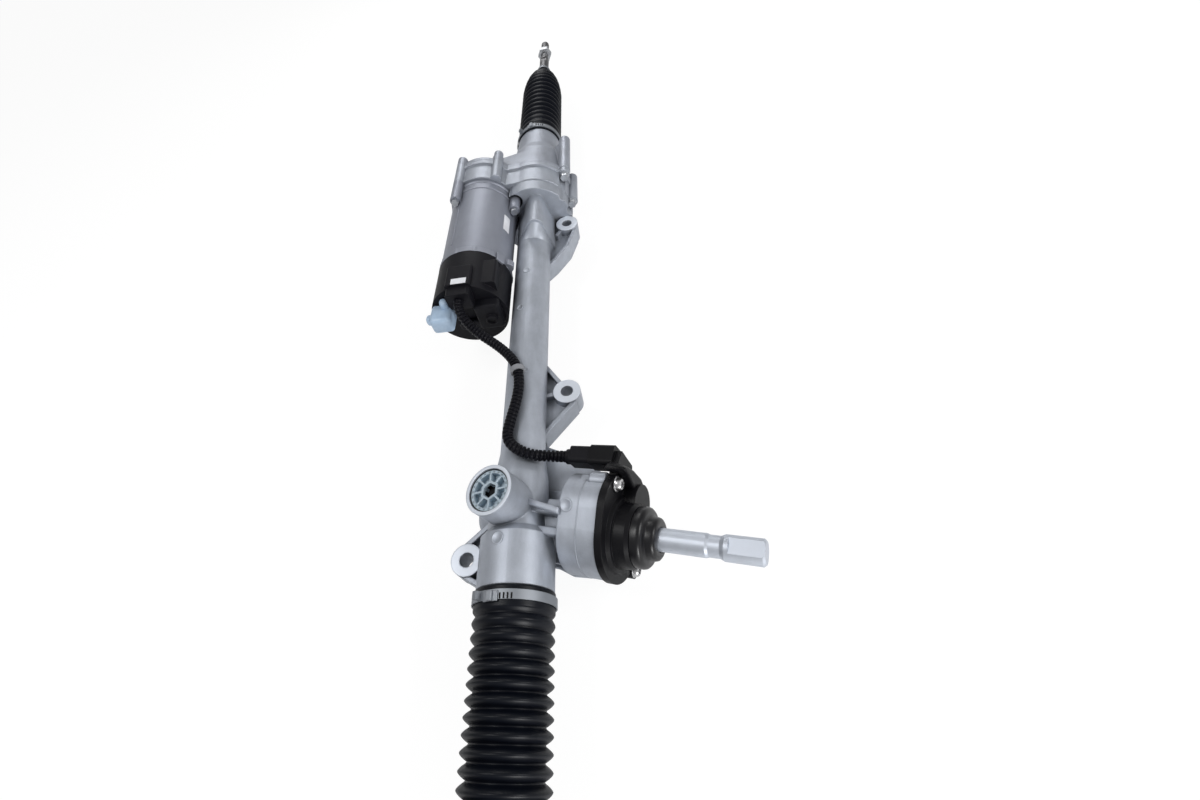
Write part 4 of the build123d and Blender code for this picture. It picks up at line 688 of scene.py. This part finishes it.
motor_label = curved_plate("motor_label", LABEL_X, LABEL_TURNS, LABEL_R, MOTOR_AXIS, LABEL_THICK, plate_white)
ecu_label = boxes("ecu_label", upright(FLAT_LABEL), plate_white, 0.00015)
for piece in (motor_label, ecu_label):
    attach(piece, "housing")

# ---- Dust cap: a soft translucent cap pushed over the power connector.
# It is a rounded sleeve with a short neck above and a pull lobe at its side.
SLEEVE = ((0.2487, 0.0450, 0.0290), (0.0250, 0.0236, 0.0206))  # centre and sides, as of the others
NECK = ((0.2560, 0.0408, 0.0425), (0.0085, 0.0080, 0.0125))
PULL_LOBE = ((0.2470, 0.0585, 0.0305), (0.0100, 0.0085, 0.0110))
cap_finish, sheet = new_finish("milky cap")
clouds = sheet.grain(sheet.place(), 120, 3, 0.6)
sheet.surface(Base_Color=sheet.mix(clouds, (0.36, 0.5, 0.68, 1), (0.56, 0.7, 0.86, 1)),
              Alpha=clouds * 0.1 + 0.82, Roughness=clouds * 0.1 + 0.3, Normal=sheet.bump(clouds, 0.0006, 0.5))
cap_form = boxes("dust_cap", upright(SLEEVE, NECK, PULL_LOBE), cap_finish, 0.0042)
cap_form.data.shade_smooth()
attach(cap_form, "connector_cap")
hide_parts("connector_cap")

# ---- Sensor cover: a black nylon lid on the drum, with a raised hood beside its upper screw.
# Three screws hold it; their heads have a flange and a six-lobed socket.
LID_FACE = 0.0861  # along the pinion, as are the hood's foot and top
HOOD_FOOT = 0.0800
HOOD_HIGH = 0.0945
HOOD = ((0.036, 0.044), (0.042, 0.041), (0.0475, 0.034), (0.0515, 0.018), (0.0525, 0.0), (0.047, -0.017),
        (0.040, -0.027), (0.033, -0.020), (0.030, 0.0), (0.0375, 0.018), (0.0395, 0.028))
HOOD_TOP = ((0.040, 0.040), (0.042, 0.038), (0.0450, 0.030), (0.0470, 0.017), (0.0470, 0.0), (0.042, -0.013),
            (0.036, -0.020), (0.031, -0.015), (0.0285, 0.0), (0.0355, 0.015), (0.0395, 0.028))
SCREW_SPOTS = ((0.031, 0.028), (-0.018, -0.0365), (0.028, -0.0295))
SCREW = ((-0.016, 0.0024), (-0.0001, 0.0024), (-0.0001, 0.0062), (0.0009, 0.0062), (0.0012, 0.0050),
         (0.0038, 0.0048), (0.0048, 0.0040), (0.0050, 0.0026), (0.0028, 0.0024), (0.0026, 0.0009))
SCREW_LOBES = (7, 8)  # the rings of the socket's mouth and floor
lid_nylon = moulded_finish("lid nylon", (0.004, 0.004, 0.005), 0.34)
paint(lid_nylon, "sensor_cover")
hood = prism("lid_hood", [on_pinion(HOOD_FOOT, u, v) for u, v in HOOD],
             [on_pinion(HOOD_HIGH, u, v) for u, v in HOOD_TOP], lid_nylon, 0.0018)
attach(hood, "housing")
head_steel = steel_finish("screw head", (0.7, 0.7, 0.71), 0.26)
screws = joined("sensor_cover_heads", [
    lathed("head", SCREW, on_pinion(LID_FACE, u, v), PINION_WAY, head_steel, lobes=SCREW_LOBES)
    for u, v in SCREW_SPOTS])
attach(screws, "housing")
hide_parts("sensor_cover_screws")

# ---- Input shaft: ground steel, with flats on its tip. A soft rubber bell closes the cover's neck round it,
# with one fold down to the shaft.
BELL = ((0.1012, 0.0096), (0.1011, 0.0225), (0.1016, 0.0233), (0.1060, 0.0235), (0.1082, 0.0230),
        (0.1096, 0.0217), (0.1102, 0.0198), (0.1104, 0.0178), (0.1112, 0.0168), (0.1150, 0.0164),
        (0.1168, 0.0158), (0.1178, 0.0145), (0.1182, 0.0125), (0.1180, 0.0096))  # along the pinion, radius
paint(steel_finish("ground steel", (0.66, 0.7, 0.77), 0.5), "input_shaft")
boot = lathed("shaft_boot_bell", BELL, PINION_AT, PINION_WAY, rubber, rows=64, hollow=True)
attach(boot, "housing")
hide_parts("shaft_boot")

# ---- Yoke plug: die-cast, passivated grey-green, screwed into the tower over the yoke's spring.
# A sealing groove runs round its rim, with short grip marks inside it, both in painted shade; the hexagon
# socket is painted in shadow.
PLUG_FACE = 0.0475
PLUG_RELIEF = 0.0008
GROOVE_FROM = 0.0168
GRIP_FROM = 0.0149
GRIP_TO = 0.0164
GRIP_MARKS = 22.0
GRIP_GAP = 0.2  # 0 makes the marks as wide as the gaps between them, more makes them narrower
GRIP_SHADE = 0.45
SOCKET_R = 0.0058
SOCKET_DEPTH = 0.003
TOWER_OVER = (0.0, TOWER_WAY.z, -TOWER_WAY.y)
plug_skin, sheet = new_finish("passivated plug")
where = sheet.place()
offset = sheet.away(where, TOWER_AT)
height = sheet.along(offset, TOWER_WAY)
across = sheet.part(offset, 0)
over = sheet.along(offset, TOWER_OVER)
radius = (across ** 2 + over ** 2) ** 0.5
turn = across.sum("ARCTAN2", across, over)
on_face = height > PLUG_FACE - PLUG_RELIEF
groove = (radius > GROOVE_FROM) * on_face
grip = ((turn * GRIP_MARKS).sine() > GRIP_GAP) * (radius > GRIP_FROM) * (radius < GRIP_TO) * on_face
socket = (radius < SOCKET_R) * (height < PLUG_FACE - SOCKET_DEPTH)
clouds = sheet.grain(where, 300, 3, 0.6)
skin = sheet.mix(clouds, (0.34, 0.42, 0.48, 1), (0.56, 0.66, 0.74, 1))
# painted shade in the groove and the grip marks, then painted shadow in the socket below
skin = sheet.mix((groove + grip * GRIP_SHADE).least(1.0), skin, (0.03, 0.035, 0.04, 1))
skin = sheet.mix(socket, skin, (0.004, 0.004, 0.005, 1))
sheet.surface(Base_Color=skin, Roughness=clouds * 0.15 + 0.4, Metallic=0.4,
              Normal=sheet.bump(sheet.grain(where, 2600, 2, 0.7), 0.00008, 0.5, 0.0006))
paint(plug_skin, "yoke_plug")

# ---- Tie rods: forged and blacked, each with a ball in the rack's end and a thread at its own.
# A zinc-plated nut locks the thread.
paint(steel_finish("blacked rod", (0.16, 0.16, 0.165), 0.38), "tie_rod_near", "tie_rod_far")
paint(zinc, "lock_nut_near", "lock_nut_far")

# ---- Bellows: blow-moulded rubber sleeves, one at each end, held by a wide clamp on the housing's lip
# and a narrow clip on the rod. Each is drawn in two pieces that meet in a valley.
BELLOWS_R = 0.032
BELLOWS_LENGTH = 0.248
BELLOWS_WALL = 0.0016
COLLAR = 0.0145  # plain length under the clamp
SEAM = 0.150  # the two pieces meet in the valley nearest to it
CUFF_AT = 0.231  # plain from here to the rod's end
FOLDED_LENGTH = 0.206
FIRST_VALLEY = 0.018
FULLNESS = 1.5  # 1 makes the folds straight-sided, more makes their crests rounder
FOLD_EDGE = 600.0  # the folds start and end within one over this
FOLD_START = 0.4  # share of the full depth at the collar
FOLD_GROWTH = 13.0  # and what each metre from there adds to it
COLUMNS_PER_FOLD = 12
ROWS = 73
ENVELOPE = ((0.0, 0.0316), (0.62, 0.0315), (0.69, 0.0302), (0.75, 0.0280), (0.8, 0.0252), (0.84, 0.0220),
            (0.88, 0.0175), (0.911, 0.0126), (0.935, 0.0103), (1.0, 0.0103))  # share of the length, radius
BELLOWS = (("near", -0.028, -1.0, 21, 0.0060, 0.2),  # lip, way, folds, their depth, sheen
           ("far", 0.599, 1.0, 16, 0.0026, 0.09))


def grown(name, holder, sizes, write, finish):
    """A piece that Geometry Nodes make on a holder object; write() returns the shape's wire."""
    tree = bpy.data.node_groups.new(name, "GeometryNodeTree")
    tree.interface.new_socket("Geometry", in_out="INPUT", socket_type="NodeSocketGeometry")
    tree.interface.new_socket("Geometry", in_out="OUTPUT", socket_type="NodeSocketGeometry")
    for label, value in sizes.items():
        kind = "NodeSocketInt" if isinstance(value, int) else "NodeSocketFloat"
        tree.interface.new_socket(label, in_out="INPUT", socket_type=kind)
    sheet = Sheet(tree)
    entry = tree.nodes.new("NodeGroupInput")
    wires = {socket.name: Wire(sheet, socket) for socket in entry.outputs if socket.name}
    real = sheet.add("GeometryNodeRealizeInstances", {}, {"Geometry": write(sheet, wires)})
    faced = sheet.add("GeometryNodeSetMaterial", {}, {"Geometry": real, "Material": finish})
    tree.links.new(faced.socket, tree.nodes.new("NodeGroupOutput").inputs[0])
    modifier = holder.modifiers.new(name, "NODES")
    modifier.node_group = tree
    for item in tree.interface.items_tree:
        if item.in_out == "INPUT" and item.name in sizes:
            modifier[item.identifier] = sizes[item.name]
    evaluated = holder.evaluated_get(bpy.context.evaluated_depsgraph_get())
    piece = bpy.data.objects.new(name, bpy.data.meshes.new_from_object(evaluated))
    bpy.data.objects.remove(holder)
    scene.collection.objects.link(piece)
    return piece


def empty_holder():
    """An object with an empty mesh, for a tree that draws its own shape."""
    holder = bpy.data.objects.new("holder", bpy.data.meshes.new("holder"))
    scene.collection.objects.link(holder)
    return holder


def ribbed(sheet, size):
    """Sleeve round the rack's axis: a grid whose columns run along it and rows round it."""
    grid = sheet.add("GeometryNodeMeshGrid", {}, {"Size X": 1.0, "Size Y": 1.0, "Vertices X": size["Columns"],
                                                  "Vertices Y": size["Rows"]})
    at = sheet.add("GeometryNodeInputPosition")
    along = (sheet.part(at, 0) + 0.5) * (size["To"] - size["From"]) + size["From"]
    turn = (sheet.part(at, 1) + 0.5) * (2 * math.pi)
    stops = [(share, radius / BELLOWS_R) for share, radius in ENVELOPE]
    outer = sheet.add("ShaderNodeValToRGB", {"stops": stops}, {0: along / BELLOWS_LENGTH})
    outer = sheet.part(outer, 0) * BELLOWS_R
    past_collar = ((along - COLLAR) * FOLD_EDGE).least(1.0).most(0.0)
    before_cuff = ((CUFF_AT - along) * FOLD_EDGE).least(1.0).most(0.0)
    wave = (((along - size["First valley"]) / size["Pitch"]).rest() * 2.0 - 1.0).size()
    valley = wave ** size["Fullness"]
    growing = ((along - COLLAR) * FOLD_GROWTH + FOLD_START).least(1.0)
    radius = outer - valley * (past_collar * before_cuff) * growing * size["Depth"] * (outer / BELLOWS_R)
    x, y, z = along * size["Way"] + size["Lip"], radius * turn.cosine() + RACK_Y, radius * turn.sine()
    point = sheet.add("ShaderNodeCombineXYZ", {}, {0: x, 1: y, 2: z})
    bent = sheet.add("GeometryNodeSetPosition", {}, {"Geometry": grid, "Position": point})
    closed = sheet.add("GeometryNodeMergeByDistance", {}, {"Geometry": bent, "Distance": 0.00001})
    return sheet.add("GeometryNodeSetShadeSmooth", {}, {"Geometry": closed, "Shade Smooth": True})


def thickened(piece, wall):
    """Gives an open sleeve its wall, inward, with faces that point out."""
    mesh = bmesh.new()
    mesh.from_mesh(piece.data)
    bmesh.ops.recalc_face_normals(mesh, faces=mesh.faces)
    mesh.to_mesh(piece.data)
    mesh.free()
    solid = piece.modifiers.new("wall", "SOLIDIFY")
    solid.thickness = wall
    solid.offset = -1.0
    made = bpy.data.meshes.new_from_object(piece.evaluated_get(bpy.context.evaluated_depsgraph_get()))
    piece.modifiers.clear()
    piece.data = made


for end, lip, way, folds, depth, sheen in BELLOWS:
    bellows_rubber = rubber_finish(f"bellows rubber {end}", (0.0015, 0.0022, 0.0045), 0.3, sheen)
    pitch = FOLDED_LENGTH / folds
    seam = FIRST_VALLEY + pitch * round((SEAM - FIRST_VALLEY) / pitch)
    for part, start, stop in (("lip", 0.0, seam), ("rod", seam, BELLOWS_LENGTH)):
        columns = int((stop - start) / pitch * COLUMNS_PER_FOLD)
        piece = grown(f"bellows_{end}_{part}_side", empty_holder(), {
            "Columns": columns, "Rows": ROWS, "From": start, "To": stop, "Pitch": pitch, "Depth": depth,
            "Fullness": FULLNESS, "First valley": FIRST_VALLEY, "Lip": lip, "Way": way}, ribbed,
            bellows_rubber)
        thickened(piece, BELLOWS_WALL)
        if part == "lip":
            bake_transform(piece)
        else:
            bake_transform(piece)
        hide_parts(f"bellows_{end}")

# ---- Clamps and clips: satin stainless bands; a clamp is closed with a crimped ear.
# The ear is a folded loop that stands off the band, with a row of slots punched beside it.
CLAMPS = (("near", -0.0362, 72.0), ("far", 0.6062, 80.0))  # along the rack, turn of the ear
CLAMP_R = 0.0331
FOOT_TURN = 5.5  # from the loop's middle to that of each of its two feet
SLOT_TURNS = (13.0, 18.0, 23.0, 28.0)
LOOP_SIDES = (0.0075, 0.0052, 0.0034)
FOOT_SIDES = (0.0075, 0.006, 0.0014)
SLOT_SIDES = (0.0042, 0.0012, 0.0005)
LOOP_STAND = 0.0012
FOOT_STAND = 0.0004
SLOT_STAND = 0.00015
band_steel = steel_finish("band steel", (0.34, 0.36, 0.39), 0.5)
slot_dark = steel_finish("slot shadow", (0.03, 0.03, 0.03), 0.6)
for end, x, turn in CLAMPS:
    paint(band_steel, f"bellows_clamp_{end}", f"bellows_clip_{end}")
    ear = boxes(f"clamp_ear_{end}", [
        (on_round(x, turn, CLAMP_R + LOOP_STAND), LOOP_SIDES),
        (on_round(x, turn + FOOT_TURN, CLAMP_R + FOOT_STAND), FOOT_SIDES),
        (on_round(x, turn - FOOT_TURN, CLAMP_R + FOOT_STAND), FOOT_SIDES)], band_steel, 0.0009)
    slots = boxes(f"clamp_slots_{end}", [(on_round(x, turn + step, CLAMP_R + SLOT_STAND), SLOT_SIDES)
                                         for step in SLOT_TURNS], slot_dark, 0.0003)
    for piece in (ear, slots):
        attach(piece, "housing")

# ---- Conduit: corrugated black hose from the control unit to the torque sensor, clipped to the tube.
# It leaves the small plug, dips over the tube and turns back into the sensor's plug.
CONDUIT_R = 0.005
CONDUIT_PITCH = 0.0038
CONDUIT_GROOVE = 0.0015
CONDUIT_STEP = 0.00031
CREST_TOP = 2.5  # with the slope, a crest of half the pitch and flanks of a sixth of it each
CREST_SLOPE = 6.0
CONDUIT_SIDES = 20
CONDUIT_ROUTE = [(0.250, 0.021, 0.050), (0.237, 0.021, 0.050), (0.220, 0.006, 0.036), (0.200, -0.022, 0.029),
                 (0.180, -0.038, 0.028), (0.160, -0.043, 0.0275), (0.138, -0.042, 0.0275),
                 (0.116, -0.037, 0.027), (0.098, -0.034, 0.0265), (0.086, -0.042, 0.028),
                 (0.079, -0.057, 0.0255), (0.0823, -0.0718, 0.0156), (0.0779, -0.0875, 0.0204)]
line = bpy.data.curves.new("conduit line", "CURVE")
line.dimensions = "3D"
line.resolution_u = 24
spline = line.splines.new("NURBS")
spline.points.add(len(CONDUIT_ROUTE) - 1)
for point, place in zip(spline.points, CONDUIT_ROUTE):
    point.co = (*place, 1)
spline.use_endpoint_u = True
spline.order_u = 3
holder = bpy.data.objects.new("conduit line", line)
scene.collection.objects.link(holder)
conduit_path = [v.co.copy() for v in bpy.data.meshes.new_from_object(holder).vertices]


def corrugated(sheet, size):
    """Tube along the holder's curve, whose radius goes from crest to groove once in each pitch."""
    even = sheet.add("GeometryNodeResampleCurve", {"mode": "LENGTH"},
                     {"Curve": size["Geometry"], "Length": size["Step"]})
    run = sheet.add("GeometryNodeSplineParameter", out="Length")
    ring = (run / size["Pitch"]).rest() - 0.5
    crest = (ring.size() * -CREST_SLOPE + CREST_TOP).least(1.0).most(0.0)
    radius = size["Radius"] - size["Groove"] * (1 - crest)
    outline = sheet.add("GeometryNodeCurvePrimitiveCircle", {}, {"Resolution": CONDUIT_SIDES, "Radius": 1.0})
    tube = sheet.add("GeometryNodeCurveToMesh", {},
                     {"Curve": even, "Profile Curve": outline, "Scale": radius, "Fill Caps": True})
    return sheet.add("GeometryNodeSetShadeSmooth", {}, {"Geometry": tube, "Shade Smooth": True})


paint(moulded_finish("clip grey", (0.2, 0.205, 0.22), 0.4), "conduit_clip")
hose_black = moulded_finish("conduit black", (0.003, 0.003, 0.005), 0.28, 0.00002, 0.13)
conduit = grown("conduit_hose", holder, {"Step": CONDUIT_STEP, "Pitch": CONDUIT_PITCH, "Radius": CONDUIT_R,
                                         "Groove": CONDUIT_GROOVE}, corrugated, hose_black)
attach(conduit, "housing")
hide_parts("conduit")
